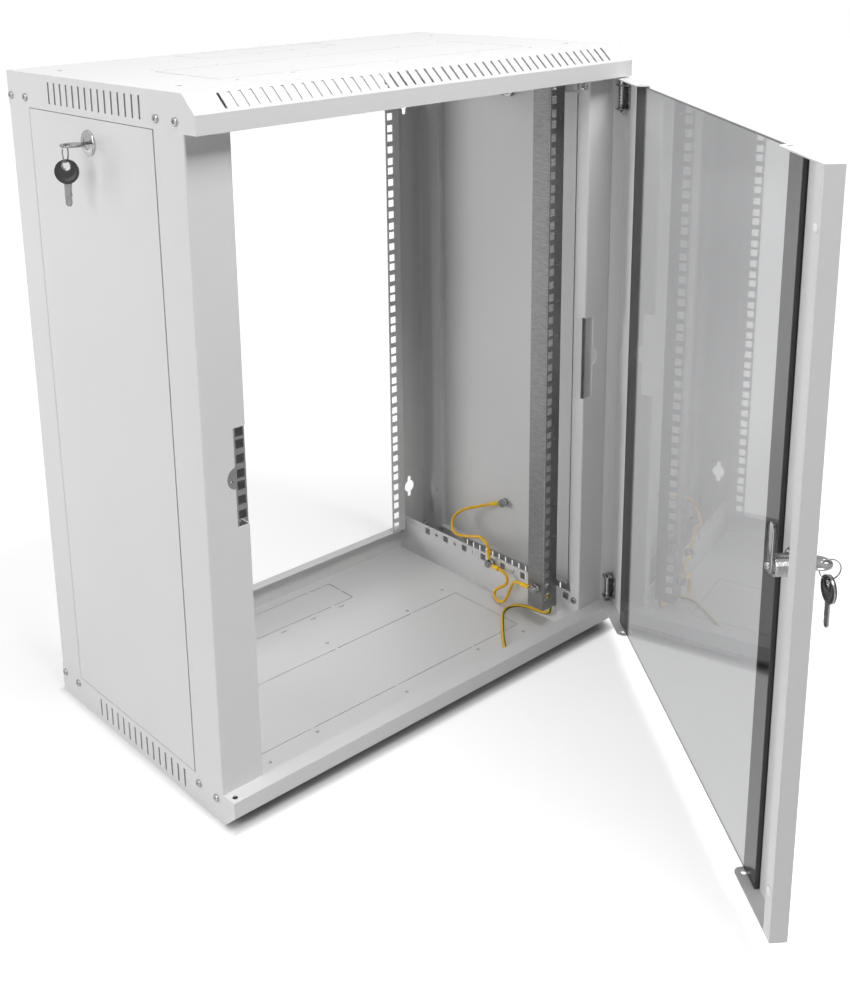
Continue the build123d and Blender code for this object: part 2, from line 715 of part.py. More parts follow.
def lead(name, points):
    """Round lead along straight runs joined by tangent arcs as wide as the runs allow."""
    corners = [Vector(*point) for point in points]
    runs = [b - a for a, b in zip(corners, corners[1:])]
    radii = []
    for before, after in zip(runs, runs[1:]):
        half_turn = radians(before.get_angle(after)) / 2
        radii.append(LEAD_SHARE * min(before.length, after.length) / tan(half_turn))
    path = FilletPolyline(*corners, radius=radii)
    start = Plane(origin=path @ 0, z_dir=path % 0)
    tube = sweep(start * Circle(LEAD_DIAMETER / 2), path=path)
    expected = pi * (LEAD_DIAMETER / 2) ** 2 * path.length
    print(name, "radii", [round(radius, 1) for radius in radii])
    print(name, "length", round(path.length, 1), "volume ratio", round(tube.volume / expected, 4))
    return tube


def side_panel(with_stud):
    """Right side panel: shallow tray with a lock hole near its top and two hooks at its foot."""
    y_span = (FRONT + POST_SETBACK + FRONT_STRIP + JOINT_GAP, BACK - REAR_STRIP - JOINT_GAP)
    z_span = (PAN_HEIGHT + JOINT_GAP, HEIGHT - PAN_HEIGHT - JOINT_GAP)
    solid = block((SIDE - PANEL_DEPTH, SIDE), y_span, z_span)
    inside = solid.faces().sort_by(Axis.X)[0]
    tray = offset(solid, amount=-SHEET, openings=[inside])
    hook_x = (SIDE - PANEL_DEPTH - SHEET, SIDE - PANEL_DEPTH)
    for y in (y_span[0] + HOOK_INSET, y_span[1] - HOOK_INSET):
        width = (y - HOOK_WIDTH / 2, y + HOOK_WIDTH / 2)
        tray += block(hook_x, width, (z_span[0] - HOOK_DROP, z_span[0] + SHEET))
    cuts = [cylinder_along((1, 0, 0), panel_lock_place(1), LOCK_HOLE_DIAMETER, 4 * SHEET)]
    if with_stud:
        cuts.append(cylinder_along((1, 0, 0), panel_stud_place(), STUD_HOLE_DIAMETER, 4 * SHEET))
    return tray - cuts


def panel_middle_y():
    """Middle of a side panel between the front and rear strips."""
    return (POST_SETBACK + FRONT_STRIP - REAR_STRIP) / 2


def panel_lock_place(side):
    """Centre of a side panel's lock on its outer face."""
    z = HEIGHT - PAN_HEIGHT - PANEL_LOCK_DROP
    return side * SIDE, panel_middle_y(), z


def panel_stud_place():
    """Seat of the earth stud on the right panel's inner face."""
    return SIDE - SHEET, panel_middle_y(), PANEL_STUD_HEIGHT


def door_span():
    """Door's outer edges in X and in Z."""
    half = SIDE - DOOR_SIDE_GAP
    return (-half, half), (PAN_HEIGHT + DOOR_END_GAP, HEIGHT - PAN_HEIGHT - DOOR_END_GAP)


def opened(shape):
    """Door piece turned from its closed place to the angle at which the door stands open."""
    x = SIDE - HINGE_SIDE_INSET
    y = FRONT + HINGE_SETBACK
    return Pos(x, y, 0) * Rot(0, 0, DOOR_OPEN_ANGLE) * Pos(-x, -y, 0) * shape


def stile():
    """Right door stile: skin, end flange and closed ends, open to the glass and to the inside."""
    (_, right), z_span = door_span()
    solid = block((right - STILE_WIDTH, right), (FRONT, FRONT + DOOR_DEPTH), z_span)
    back = solid.faces().sort_by(Axis.Y)[-1]
    glass_side = solid.faces().sort_by(Axis.X)[0]
    tray = offset(solid, amount=-SHEET, openings=[back, glass_side])
    corners = tray.edges().filter_by(Axis.Z).filter_by_position(Axis.Y, FRONT + DOOR_DEPTH - SHEET / 2, BACK)
    corners = corners.filter_by_position(Axis.X, -SIDE, right - STILE_WIDTH + SHEET / 2)
    tray = fillet(corners, STILE_TAB_RADIUS)
    hole_x = right - STILE_WIDTH + STILE_TAB_HOLE_INSET
    centre = (hole_x, FRONT + DOOR_DEPTH - STILE_TAB_HOLE_INSET, HEIGHT / 2)
    return tray - cylinder_along((0, 0, 1), centre, STILE_TAB_HOLE, HEIGHT)


def hinge_stile():
    """Hinge side stile with the holes of the two hinge pins in its ends."""
    centre = (SIDE - HINGE_SIDE_INSET, FRONT + HINGE_SETBACK, HEIGHT / 2)
    return stile() - cylinder_along((0, 0, 1), centre, PIN_HOLE_DIAMETER, HEIGHT)


def lock_stile():
    """Lock side stile with a folded lip along its free edge and the lock's hole."""
    (left, _), z_span = door_span()
    body = mirror(stile(), about=Plane.YZ)
    back = FRONT + DOOR_DEPTH
    body += block((left, left + STILE_LIP), (back - SHEET, back), z_span)
    return body - cylinder_along((0, 1, 0), door_lock_place(), LOCK_HOLE_DIAMETER, 4 * SHEET)


def door_lock_place():
    """Centre of the door's lock on its outer face, with the door closed."""
    (left, _), _ = door_span()
    return left + DOOR_LOCK_INSET, FRONT, HEIGHT / 2


def glass_spans():
    """Spans of the glass in X and Z, behind the stiles and between their ends."""
    (left, right), (low, high) = door_span()
    return (left + GLASS_INSET, right - GLASS_INSET), (low + SHEET + GLASS_END_GAP, high - SHEET - GLASS_END_GAP)


def door_glass():
    """Tinted glass pane, bonded behind the stiles and bare at its top and bottom edges."""
    x_span, z_span = glass_spans()
    front = FRONT + SHEET + TAPE_THICKNESS
    pane = block(x_span, (front, front + GLASS_THICKNESS), z_span)
    return pane


def door_tape():
    """Right bonding tape, between the stile's skin and the glass."""
    (_, right), _ = door_span()
    (_, glass_edge), z_span = glass_spans()
    front = FRONT + SHEET
    return block((right - STILE_WIDTH, glass_edge), (front, front + TAPE_THICKNESS), z_span)


def bumpers():
    """Two round bumpers on the lock stile's lip, which meet the front post."""
    (left, _), (low, high) = door_span()
    disc = extrude(Circle(BUMPER_DIAMETER / 2), amount=BUMPER_HEIGHT, taper=BUMPER_TAPER)
    x = left + STILE_LIP / 2
    y = FRONT + DOOR_DEPTH
    places = [(x, y, low + BUMPER_END_INSET), (x, y, high - BUMPER_END_INSET)]
    return Compound([place(disc, centre, (0, 1, 0), (1, 0, 0)) for centre in places])


def hinge_bracket():
    """Lower hinge bracket: a web on the stile's skin with two ears that guide the pin."""
    _, (low, _) = door_span()
    hinge_x = SIDE - HINGE_SIDE_INSET
    y = FRONT + SHEET
    right = hinge_x + BRACKET_EAR_WIDTH / 2 - HINGE_SIDE_INSET / 3
    z_span = (low + BRACKET_END_INSET, low + BRACKET_END_INSET + BRACKET_HEIGHT)
    bracket = block((right - BRACKET_WIDTH, right), (y, y + BRACKET_SHEET), z_span)
    ear_x = (right - BRACKET_EAR_WIDTH, right)
    for z in (z_span[0], z_span[1] - BRACKET_SHEET):
        bracket += block(ear_x, (y, y + BRACKET_EAR_REACH), (z, z + BRACKET_SHEET))
    centre = (hinge_x, FRONT + HINGE_SETBACK, z_span[0])
    return bracket - cylinder_along((0, 0, 1), centre, PIN_HOLE_DIAMETER, 4 * BRACKET_HEIGHT)


def pin_foot():
    """Lower end of the lower hinge pin, down through the ledge."""
    return PAN_HEIGHT - PIN_PROUD


def collar_base():
    """Underside of the pin's collar, just above the bracket's lower ear."""
    _, (low, _) = door_span()
    return low + BRACKET_END_INSET + BRACKET_SHEET + JOINT_GAP


def hinge_pin():
    """Lower hinge pin with its collar and the lever that draws it back."""
    x = SIDE - HINGE_SIDE_INSET
    y = FRONT + HINGE_SETBACK
    pin = Pos(x, y, pin_foot()) * extrude(Circle(PIN_DIAMETER / 2), amount=PIN_LENGTH)
    collar = extrude(Circle(PIN_COLLAR_DIAMETER / 2), amount=PIN_COLLAR_HEIGHT)
    pin += Pos(x, y, collar_base()) * collar
    lever_z = pin_foot() + PIN_LENGTH - PIN_LEVER_DIAMETER / 2
    lever = cylinder_along((1, 0, 0), (x - PIN_LEVER / 2, y, lever_z), PIN_LEVER_DIAMETER, PIN_LEVER)
    return pin + lever


def hinge_spring():
    """Plain tube in the place of the lower pin's spring, between its collar and the upper ear."""
    _, (low, _) = door_span()
    bottom = collar_base() + PIN_COLLAR_HEIGHT
    top = low + BRACKET_END_INSET + BRACKET_HEIGHT - BRACKET_SHEET
    ring = Circle(SPRING_DIAMETER / 2) - Circle(PIN_HOLE_DIAMETER / 2)
    x = SIDE - HINGE_SIDE_INSET
    return Pos(x, FRONT + HINGE_SETBACK, bottom) * extrude(ring, amount=top - bottom)


def lock_housing(barrel_length):
    """Lock body along -Z from its seat: a flange outside and a round barrel through the sheet."""
    profile = Circle(LOCK_BARREL_DIAMETER / 2) - Circle(PLUG_DIAMETER / 2 + PLUG_CLEARANCE)
    flange = Circle(LOCK_FLANGE_DIAMETER / 2) - Circle(PLUG_DIAMETER / 2 + PLUG_CLEARANCE)
    rim = extrude(flange, amount=LOCK_FLANGE_HEIGHT)
    edge = rim.faces().sort_by(Axis.Z)[-1].edges().sort_by(SortBy.RADIUS)[-1]
    rim = chamfer(edge, LOCK_FLANGE_HEIGHT / 2)
    return rim + extrude(profile, amount=-barrel_length)


def lock_nut():
    """Hexagon nut that clamps a lock to its sheet from inside."""
    nut = hex_nut(LOCK_NUT_FLATS, LOCK_NUT_HEIGHT, LOCK_HOLE_DIAMETER)
    return Pos(0, 0, -SHEET - LOCK_NUT_HEIGHT) * nut


def lock_plug(barrel_length, keyed):
    """Turning plug of a lock, with a key slot open at its face."""
    face = LOCK_FLANGE_HEIGHT - PLUG_RECESS
    length = face + barrel_length + PLUG_TAIL
    plug = Pos(0, 0, face) * extrude(Circle(PLUG_DIAMETER / 2), amount=-length)
    depth = KEY_BLADE_LENGTH - KEY_NECK + KEY_SLOT_GAP if keyed else KEY_NECK
    slot = Rectangle(KEY_BLADE_WIDTH + 2 * KEY_SLOT_GAP, KEY_THICKNESS + 2 * KEY_SLOT_GAP)
    return plug - Pos(0, 0, face) * extrude(slot, amount=-depth)


def door_cam():
    """Flat cam of the door's lock, pointing up from the plug."""
    seat = -DOOR_BARREL_LENGTH - PLUG_TAIL
    height = DOOR_CAM_REACH + CAM_HEEL
    flat = Pos(0, (DOOR_CAM_REACH - CAM_HEEL) / 2) * RectangleRounded(CAM_WIDTH, height, CAM_WIDTH / 4)
    return Pos(0, 0, seat) * extrude(flat, amount=-CAM_THICKNESS)


def panel_cam():
    """Cranked cam of a side lock, lying level and stepped towards the panel."""
    seat = -PANEL_BARREL_LENGTH - PLUG_TAIL
    bend = LOCK_BARREL_DIAMETER / 2 + CAM_THICKNESS
    path = [
        (PANEL_CAM_REACH, seat + PANEL_CAM_CRANK),
        (bend + PANEL_CAM_CRANK, seat + PANEL_CAM_CRANK),
        (bend, seat),
        (-CAM_HEEL, seat),
    ]
    outline = offset(Polyline(*path), amount=CAM_THICKNESS, side=Side.LEFT, kind=Kind.INTERSECTION, closed=True)
    return extrude(Plane.XZ * make_face(outline.edges()), amount=CAM_WIDTH / 2, both=True)


def cam_screw(barrel_length):
    """Hexagon screw that holds a cam to the end of its plug."""
    head = RegularPolygon(radius=CAM_SCREW_DIAMETER / 2, side_count=6)
    return Pos(0, 0, -barrel_length - PLUG_TAIL - CAM_THICKNESS) * extrude(head, amount=-CAM_SCREW_HEIGHT)


def key_outline():
    """Key in its own plane: round bow centred on zero, hole above, toothed blade below."""
    half = KEY_BLADE_WIDTH / 2
    shoulder = -(((KEY_BOW_DIAMETER / 2) ** 2 - half**2) ** 0.5)
    end = -KEY_BOW_DIAMETER / 2 - KEY_BLADE_LENGTH
    tip = KEY_BLADE_WIDTH / 3
    outline = Polyline(
        (half, shoulder),
        (half, end + tip),
        (half - tip, end),
        (tip - half, end),
        (-half, end + tip),
        (-half, shoulder),
    )
    outline += ThreePointArc((-half, shoulder), (0, KEY_BOW_DIAMETER / 2), (half, shoulder))
    hole = Pos(0, key_hole_rise()) * Circle(KEY_HOLE_DIAMETER / 2)
    return make_face(outline.edges()) - hole


def key_hole_rise():
    """Height of a key's hole above the middle of its bow."""
    return KEY_BOW_DIAMETER / 2 - KEY_RIM - KEY_HOLE_DIAMETER / 2


def key_bow_lift():
    """Distance of an inserted key's bow middle from the lock's seat."""
    return LOCK_FLANGE_HEIGHT - PLUG_RECESS + KEY_NECK + KEY_BOW_DIAMETER / 2


def inserted_key():
    """Key pushed into the plug, its bow level and outside."""
    flat = extrude(key_outline(), amount=KEY_THICKNESS / 2, both=True)
    return place(flat, (0, 0, key_bow_lift()), (0, -1, 0), (1, 0, 0))


def ring_centre():
    """Middle of the key ring, hung through the inserted key's hole."""
    return (0, -RING_DROP, key_bow_lift() + key_hole_rise() + RING_OFFSET)


def key_ring():
    """Ring of round wire, upright and square to the inserted key."""
    plane = Plane(origin=ring_centre(), x_dir=(0, 0, 1), z_dir=(1, 0, 0))
    return plane * Torus(RING_RADIUS, RING_WIRE)


def spare_key_frame():
    """Frame of the spare key's bow, hung in the lowest part of the ring."""
    x, y, z = ring_centre()
    hole_y = y - RING_RADIUS + RING_WIRE + RING_SEAT - KEY_HOLE_DIAMETER / 2
    return Pos(x, hole_y - key_hole_rise(), z)


def spare_key():
    """Spare key hanging from the ring, flat side to the front."""
    return spare_key_frame() * extrude(key_outline(), amount=KEY_THICKNESS / 2, both=True)


def spare_cover():
    """Moulded cover on both faces of the spare key's bow."""
    disc = Circle(KEY_BOW_DIAMETER / 2)
    disc -= Pos(0, key_hole_rise()) * Circle(KEY_HOLE_DIAMETER / 2 + COVER_HOLE_RIM)
    halves = []
    for side in (-1, 1):
        shell = extrude(disc, amount=side * COVER_THICKNESS)
        halves.append(spare_key_frame() * Pos(0, 0, side * KEY_THICKNESS / 2) * shell)
    return Compound(halves)


def turned_ring(shape):
    """Ring or spare key of the left lock, turned about the hole of the key that carries it."""
    z = key_bow_lift() + key_hole_rise()
    return Pos(0, 0, z) * Rot(0, PANEL_RING_TURN, 0) * Pos(0, 0, -z) * shape


def write(name, shape):
    """Store one sub-part."""
    export_step(shape, f"parts/{name}.step")


def write_pair(name, shape):
    """Store a right-hand sub-part and its mirror image."""
    write(f"{name}_right", shape)
    write(f"{name}_left", mirror(shape, about=Plane.YZ))


def write_case():
    """Pans, posts, bars, rails and their fasteners."""
    base = pan()
    write("base_panel", base)
    write("roof_panel", mirror(base, about=MIDDLE))
    write_pair("front_post", front_post())
    write_pair("rear_post", rear_post())
    lower = side_bar()
    write_pair("lower_bar", lower)
    write_pair("upper_bar", mirror(lower, about=MIDDLE))
    write("rack_rail_right", rack_rail(True))
    write("rack_rail_left", mirror(rack_rail(False), about=Plane.YZ))
    write("corner_screws", corner_screws())
    write("bar_screws", bar_screws())
    write("rail_bolts", rail_bolts())


def lead_lugs():
    """Frames of the six ring terminals, by name."""
    rearward = Vector(0, 1, 0)
    down = Vector(0, 0, -1)
    bar_seat = bar_stud_place()
    foot_seat = (bar_inner_x() - RAIL_SHEET, *rail_bolt_place())
    tail_x = Vector(1, 0, 0).rotate(Axis.Z, TAIL_LUG_TURN)
    return {
        "panel": lug_plane(panel_stud_place(), NUT_HEIGHT, rearward.rotate(Axis.X, -PANEL_LUG_DIP)),
        "bar_up": lug_plane(bar_seat, NUT_HEIGHT, -down),
        "bar_level": lug_plane(bar_seat, NUT_HEIGHT + LUG_THICKNESS, -rearward),
        "rail": lug_plane(rail_stud_place(), NUT_HEIGHT, rearward),
        "foot": lug_plane(foot_seat, 0, down.rotate(Axis.X, -FOOT_LUG_TILT)),
        "tail": Plane(origin=(TAIL_LUG_X, FRONT + TAIL_LUG_SETBACK, SHEET), x_dir=tail_x, z_dir=-down),
    }


def write_leads():
    """Earth studs, ring terminals and the three earth leads."""
    lugs = lead_lugs()
    case_lugs = [plane for name, plane in lugs.items() if name != "panel"]
    studs = earth_stud(bar_stud_place(), 2).solids() + earth_stud(rail_stud_place(), 1).solids()
    write("case_earth_studs", Compound(studs))
    write("panel_earth_stud", earth_stud(panel_stud_place(), 1))
    write("case_lugs", Compound([ring_lug(plane) for plane in case_lugs]))
    write("case_lug_sleeves", Compound([lug_sleeve(plane) for plane in case_lugs]))
    write("panel_lug", ring_lug(lugs["panel"]))
    write("panel_lug_sleeve", lug_sleeve(lugs["panel"]))
    write("lead_panel", lead("lead_panel", route(lugs["panel"], PANEL_LEAD_SHARES, lugs["bar_up"])))
    write("lead_rail", lead("lead_rail", route(lugs["bar_level"], RAIL_LEAD_SHARES, lugs["rail"])))
    write("lead_tail", lead("lead_tail", route(lugs["foot"], TAIL_LEAD_SHARES, lugs["tail"])))


def write_door():
    """Door frame, glass, hinge hardware and lock, turned open together."""
    tape = door_tape()
    bracket = hinge_bracket()
    pin = hinge_pin()
    spring = hinge_spring()
    seat = Plane(origin=door_lock_place(), x_dir=(1, 0, 0), z_dir=(0, -1, 0))
    pieces = {
        "hinge_stile": hinge_stile(),
        "lock_stile": lock_stile(),
        "door_glass": door_glass(),
        "door_tapes": Compound([tape, mirror(tape, about=Plane.YZ)]),
        "door_bumpers": bumpers(),
        "hinge_brackets": Compound([bracket, mirror(bracket, about=MIDDLE)]),
        "hinge_pin_lower": pin,
        "hinge_pin_upper": mirror(pin, about=MIDDLE),
        "hinge_spring_lower": spring,
        "hinge_spring_upper": mirror(spring, about=MIDDLE),
        "door_lock_housing": seat * lock_housing(DOOR_BARREL_LENGTH),
        "door_lock_nut": seat * lock_nut(),
        "door_lock_plug": seat * lock_plug(DOOR_BARREL_LENGTH, True),
        "door_lock_cam": seat * door_cam(),
        "door_cam_screw": seat * cam_screw(DOOR_BARREL_LENGTH),
        "door_key": seat * inserted_key(),
        "door_key_ring": seat * key_ring(),
        "door_spare_key": seat * spare_key(),
        "door_spare_cover": seat * spare_cover(),
    }
    for name, shape in pieces.items():
        write(name, opened(shape))


def write_sides():
    """Side panels with their locks, and the key left in the left-hand one."""
    write("side_panel_right", side_panel(True))
    write("side_panel_left", mirror(side_panel(False), about=Plane.YZ))
    for side, word in ((1, "right"), (-1, "left")):
        seat = Plane(origin=panel_lock_place(side), x_dir=(0, side, 0), z_dir=(side, 0, 0))
        write(f"{word}_lock_housing", seat * lock_housing(PANEL_BARREL_LENGTH))
        write(f"{word}_lock_nut", seat * lock_nut())
        write(f"{word}_lock_plug", seat * lock_plug(PANEL_BARREL_LENGTH, word == "left"))
        write(f"{word}_lock_cam", seat * panel_cam())
        write(f"{word}_cam_screw", seat * cam_screw(PANEL_BARREL_LENGTH))
    write("left_key", seat * inserted_key())
    write("left_key_ring", seat * turned_ring(key_ring()))
    write("left_spare_key", seat * turned_ring(spare_key()))
    write("left_spare_cover", seat * turned_ring(spare_cover()))


def main():
    """Build and store every sub-part."""
    os.makedirs("parts", exist_ok=True)
    write_case()
    write_leads()
    write_door()
    write_sides()


main()
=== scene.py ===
"""Wall mount network cabinet: finishes, fine pieces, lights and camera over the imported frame."""

from __future__ import annotations

import json
import logging
import math
from dataclasses import dataclass
from enum import Enum
from functools import cached_property
from typing import Sequence

import bmesh
import bpy
import numpy as np
from mathutils import Matrix, Vector

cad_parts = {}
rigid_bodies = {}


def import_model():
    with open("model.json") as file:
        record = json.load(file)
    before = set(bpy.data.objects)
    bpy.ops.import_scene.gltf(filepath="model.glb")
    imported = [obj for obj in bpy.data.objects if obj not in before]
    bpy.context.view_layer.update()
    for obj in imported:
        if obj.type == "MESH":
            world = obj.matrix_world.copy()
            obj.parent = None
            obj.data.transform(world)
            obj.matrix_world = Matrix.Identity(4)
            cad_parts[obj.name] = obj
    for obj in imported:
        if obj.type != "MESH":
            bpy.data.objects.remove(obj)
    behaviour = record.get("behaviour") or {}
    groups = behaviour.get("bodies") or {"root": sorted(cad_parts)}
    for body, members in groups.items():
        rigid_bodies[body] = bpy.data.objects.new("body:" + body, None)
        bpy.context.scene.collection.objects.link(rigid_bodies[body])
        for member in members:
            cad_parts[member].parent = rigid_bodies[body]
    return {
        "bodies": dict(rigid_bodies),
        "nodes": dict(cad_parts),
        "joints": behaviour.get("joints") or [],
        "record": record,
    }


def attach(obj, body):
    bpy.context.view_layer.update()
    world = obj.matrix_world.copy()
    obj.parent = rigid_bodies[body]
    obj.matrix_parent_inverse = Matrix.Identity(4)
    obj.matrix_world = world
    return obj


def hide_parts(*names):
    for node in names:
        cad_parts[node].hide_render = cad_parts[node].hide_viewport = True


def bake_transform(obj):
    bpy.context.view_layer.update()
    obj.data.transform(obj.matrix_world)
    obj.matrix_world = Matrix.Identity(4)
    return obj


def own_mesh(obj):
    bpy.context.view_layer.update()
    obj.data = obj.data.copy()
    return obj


LOG = logging.getLogger("cabinet")

Pair = tuple[float, float]
Point = tuple[float, float, float]
Colour = tuple[float, float, float, float]
Socket = bpy.types.NodeSocket
Piece = bpy.types.Object

MM = 0.001
IMAGE_WIDTH = 850
IMAGE_HEIGHT = 987

# Case sizes that the fine pieces sit on, in metres, as in the CAD model
SIDE = 300 * MM
BACK = 179 * MM
HEIGHT = 745 * MM
DOOR_TURN = math.radians(53.0)
HINGE_AXIS = (293 * MM, -171 * MM, 0.0)
CORNER_SCREW_Y = (-147 * MM, -115 * MM, 140 * MM, 172 * MM)
CORNER_SCREW_Z = (26 * MM, 719 * MM)
BAR_SCREW_Y = (-152.05 * MM, 172.5 * MM)
BAR_SCREW_Z = (46 * MM, 699 * MM)
BAR_SEAT_X = 250 * MM
LEAD_DIAMETER = 4 * MM

# Routes of the earth leads
PANEL_ROUTE: list[Point] = [
    (0.2906, 0.0308, 0.1062),
    (0.2906, 0.0364, 0.1042),
    (0.2868, 0.0480, 0.0983),
    (0.2823, 0.0638, 0.0920),
    (0.2784, 0.0792, 0.0846),
    (0.2731, 0.0901, 0.0723),
    (0.2647, 0.0847, 0.0589),
    (0.2574, 0.0694, 0.0579),
    (0.2526, 0.0531, 0.0626),
    (0.2488, 0.0371, 0.0684),
    (0.2455, 0.0220, 0.0752),
    (0.2434, 0.0055, 0.0806),
    (0.2430, -0.0086, 0.0717),
    (0.2430, -0.0086, 0.0658),
]
RAIL_ROUTE: list[Point] = [
    (0.2420, -0.0283, 0.0460),
    (0.2420, -0.0343, 0.0460),
    (0.2411, -0.0442, 0.0420),
    (0.2402, -0.0464, 0.0332),
    (0.2393, -0.0396, 0.0260),
    (0.2383, -0.0320, 0.0208),
    (0.2370, -0.0256, 0.0146),
    (0.2353, -0.0260, 0.0072),
    (0.2338, -0.0334, 0.0040),
    (0.2323, -0.0414, 0.0053),
    (0.2308, -0.0484, 0.0099),
    (0.2296, -0.0537, 0.0166),
    (0.2283, -0.0580, 0.0241),
    (0.2269, -0.0620, 0.0318),
    (0.2252, -0.0661, 0.0393),
    (0.2234, -0.0703, 0.0469),
    (0.2208, -0.0760, 0.0535),
    (0.2168, -0.0872, 0.0581),
    (0.2168, -0.0932, 0.0581),
]
TAIL_ROUTE: list[Point] = [
    (0.2460, -0.1156, 0.0290),
    (0.2460, -0.1172, 0.0233),
    (0.2461, -0.1144, 0.0138),
    (0.2466, -0.1030, 0.0102),
    (0.2466, -0.0895, 0.0088),
    (0.2460, -0.0755, 0.0078),
    (0.2412, -0.0625, 0.0064),
    (0.2300, -0.0560, 0.0050),
    (0.2160, -0.0605, 0.0041),
    (0.2026, -0.0726, 0.0037),
    (0.1880, -0.0868, 0.0035),
    (0.1736, -0.1010, 0.0036),
    (0.1604, -0.1156, 0.0035),
    (0.1474, -0.1300, 0.0036),
    (0.1330, -0.1396, 0.0039),
    (0.1116, -0.1449, 0.0049),
    (0.1056, -0.1456, 0.0049),
]


class Slot(Enum):
    """Material slots of the record."""

    PAINT = "light_grey_paint"
    ZINC_SHEET = "galvanised_steel"
    ZINC_FASTENER = "zinc_fastener"
    LOCK = "lock_chrome"
    KEY = "key_steel"
    COVER = "black_cover"
    GLASS = "tinted_glass"
    TAPE = "black_tape"
    BUMPER = "clear_bumper"
    LEAD = "yellow_lead"
    STRIPED_LEAD = "striped_lead"
    SLEEVE = "yellow_sleeve"
    TERMINAL = "tinned_copper"


@dataclass
class Graph:
    """Node tree of a material or the world, with short calls to add and join nodes.

    Args:
        owner: The material or world whose tree is built.
    """

    owner: bpy.types.Material | bpy.types.World

    def __post_init__(self) -> None:
        """Turns the nodes on."""
        self.owner.use_nodes = True
        self.tree = self.owner.node_tree
        self.shader = self.tree.nodes.get("Principled BSDF")

    @cached_property
    def place(self) -> Socket:
        """Object coordinates."""
        return self.add("ShaderNodeTexCoord").outputs["Object"]

    def add(self, kind: str, *values: object, **inputs: object) -> bpy.types.Node:
        """Adds a node and fills its inputs.

        Args:
            kind: Blender's class name of the node.
            values: Values, or output sockets to link, of its first inputs.
            inputs: The same by input name, with underscores for spaces.

        Returns:
            The new node.
        """
        node = self.tree.nodes.new(kind)
        self.fill(node, *values, **inputs)
        return node

    def fill(self, node: bpy.types.Node, *values: object, **inputs: object) -> None:
        """Sets or links inputs of a node.

        Args:
            node: The node.
            values: Values, or output sockets to link, of its first inputs.
            inputs: The same by input name, with underscores for spaces.
        """
        named = {name.replace("_", " "): value for name, value in inputs.items()}
        for key, value in [*enumerate(values), *named.items()]:
            if isinstance(value, Socket):
                self.tree.links.new(value, node.inputs[key])
            else:
                node.inputs[key].default_value = value

    def surface(self, **inputs: object) -> None:
        """Sets or links inputs of the surface shader."""
        self.fill(self.shader, **inputs)

    def math(self, operation: str, first: Socket | float, second: Socket | float) -> Socket:
        """Result of a Math node, from its operation and its two values."""
        node = self.add("ShaderNodeMath", first, second)
        node.operation = operation
        return node.outputs["Value"]

    def stretched(self, *scale: float) -> Socket:
        """Object coordinates, times a factor along each of X, Y and Z."""
        node = self.add("ShaderNodeVectorMath", self.place, scale)
        node.operation = "MULTIPLY"
        return node.outputs["Vector"]

    def noise(self, scale: float, detail: float = 3.0, where: Socket | None = None) -> Socket:
        """Noise of a scale and detail, over the object's coordinates or over others."""
        place = self.place if where is None else where
        node = self.add("ShaderNodeTexNoise", Vector=place, Scale=scale, Detail=detail)
        return node.outputs["Fac"]

    def ramp(self, value: Socket, *stops: tuple[float, Colour]) -> Socket:
        """Colour ramp over a value.

        Args:
            value: Socket that drives the ramp.
            stops: Positions and colours, from low to high.

        Returns:
            The ramp's colour.
        """
        node = self.add("ShaderNodeValToRGB", value)
        elements = node.color_ramp.elements
        while len(elements) < len(stops):
            elements.new(1.0)
        for element, (position, colour) in zip(elements, stops):
            element.position = position
            element.color = colour
        return node.outputs["Color"]

    def tones(self, value: Socket, colour: Colour, span: Pair, edge: float = 0.3) -> Socket:
        """Colour that a value makes darker or lighter.

        Args:
            value: Socket that drives the tone.
            colour: The colour.
            span: Factors on the colour, at low and at high values.
            edge: Distance of the two stops from the ends of the ramp.

        Returns:
            The colour's socket.
        """
        low, high = (mixed(colour, factor) for factor in span)
        return self.ramp(value, (edge, low), (1 - edge, high))

    def blend(self, first: Socket, second: Socket, factor: float) -> Socket:
        """First colour multiplied by the second, to a given factor."""
        node = self.add("ShaderNodeMix", factor)
        node.data_type = "RGBA"
        node.blend_type = "MULTIPLY"
        colours = [socket for socket in node.inputs if socket.type == "RGBA"]
        self.tree.links.new(first, colours[0])
        self.tree.links.new(second, colours[1])
        return next(socket for socket in node.outputs if socket.type == "RGBA")

    def span(self, value: Socket, limits: Pair) -> Socket:
        """Value mapped from zero to one onto the limits."""
        low, high = limits
        node = self.add("ShaderNodeMapRange", Value=value, To_Min=low, To_Max=high)
        return node.outputs["Result"]

    def bump(self, height: Socket, strength: float, distance: float) -> None:
        """Bump from a height, into the shader's normal."""
        node = self.add("ShaderNodeBump", Height=height, Strength=strength, Distance=distance)
        self.surface(Normal=node.outputs["Normal"])

    def seen(self) -> Socket:
        """One for rays from the camera, also through glass or off a mirror, else zero."""
        rays = self.add("ShaderNodeLightPath").outputs
        value = rays["Is Camera Ray"]
        for ray in ("Is Transmission Ray", "Is Glossy Ray"):
            value = self.math("MAXIMUM", value, rays[ray])
        return value


def grey(value: float) -> Colour:
    """Neutral colour."""
    return (value, value, value, 1.0)


def mixed(colour: Colour, factor: float) -> Colour:
    """Colour made lighter or darker by a factor."""
    return (colour[0] * factor, colour[1] * factor, colour[2] * factor, 1.0)


@dataclass(frozen=True)
class Finish:
    """Base of every surface finish.

    Args:
        name: Name of the material.
        slot: Material slot of the record that it stands for.
        colour: Base colour, linear.
        roughness: Lowest and highest roughness over the surface.
    """

    name: str
    slot: Slot
    colour: Colour
    roughness: Pair

    def build(self) -> bpy.types.Material:
        """Makes the material.

        Returns:
            The new material with its node tree.
        """
        graph = Graph(bpy.data.materials.new(self.name))
        self.shade(graph)
        LOG.info("finish %s", self.name)
        return graph.owner

    def shade(self, graph: Graph) -> None:
        """Adds the finish's own nodes."""
        raise NotImplementedError


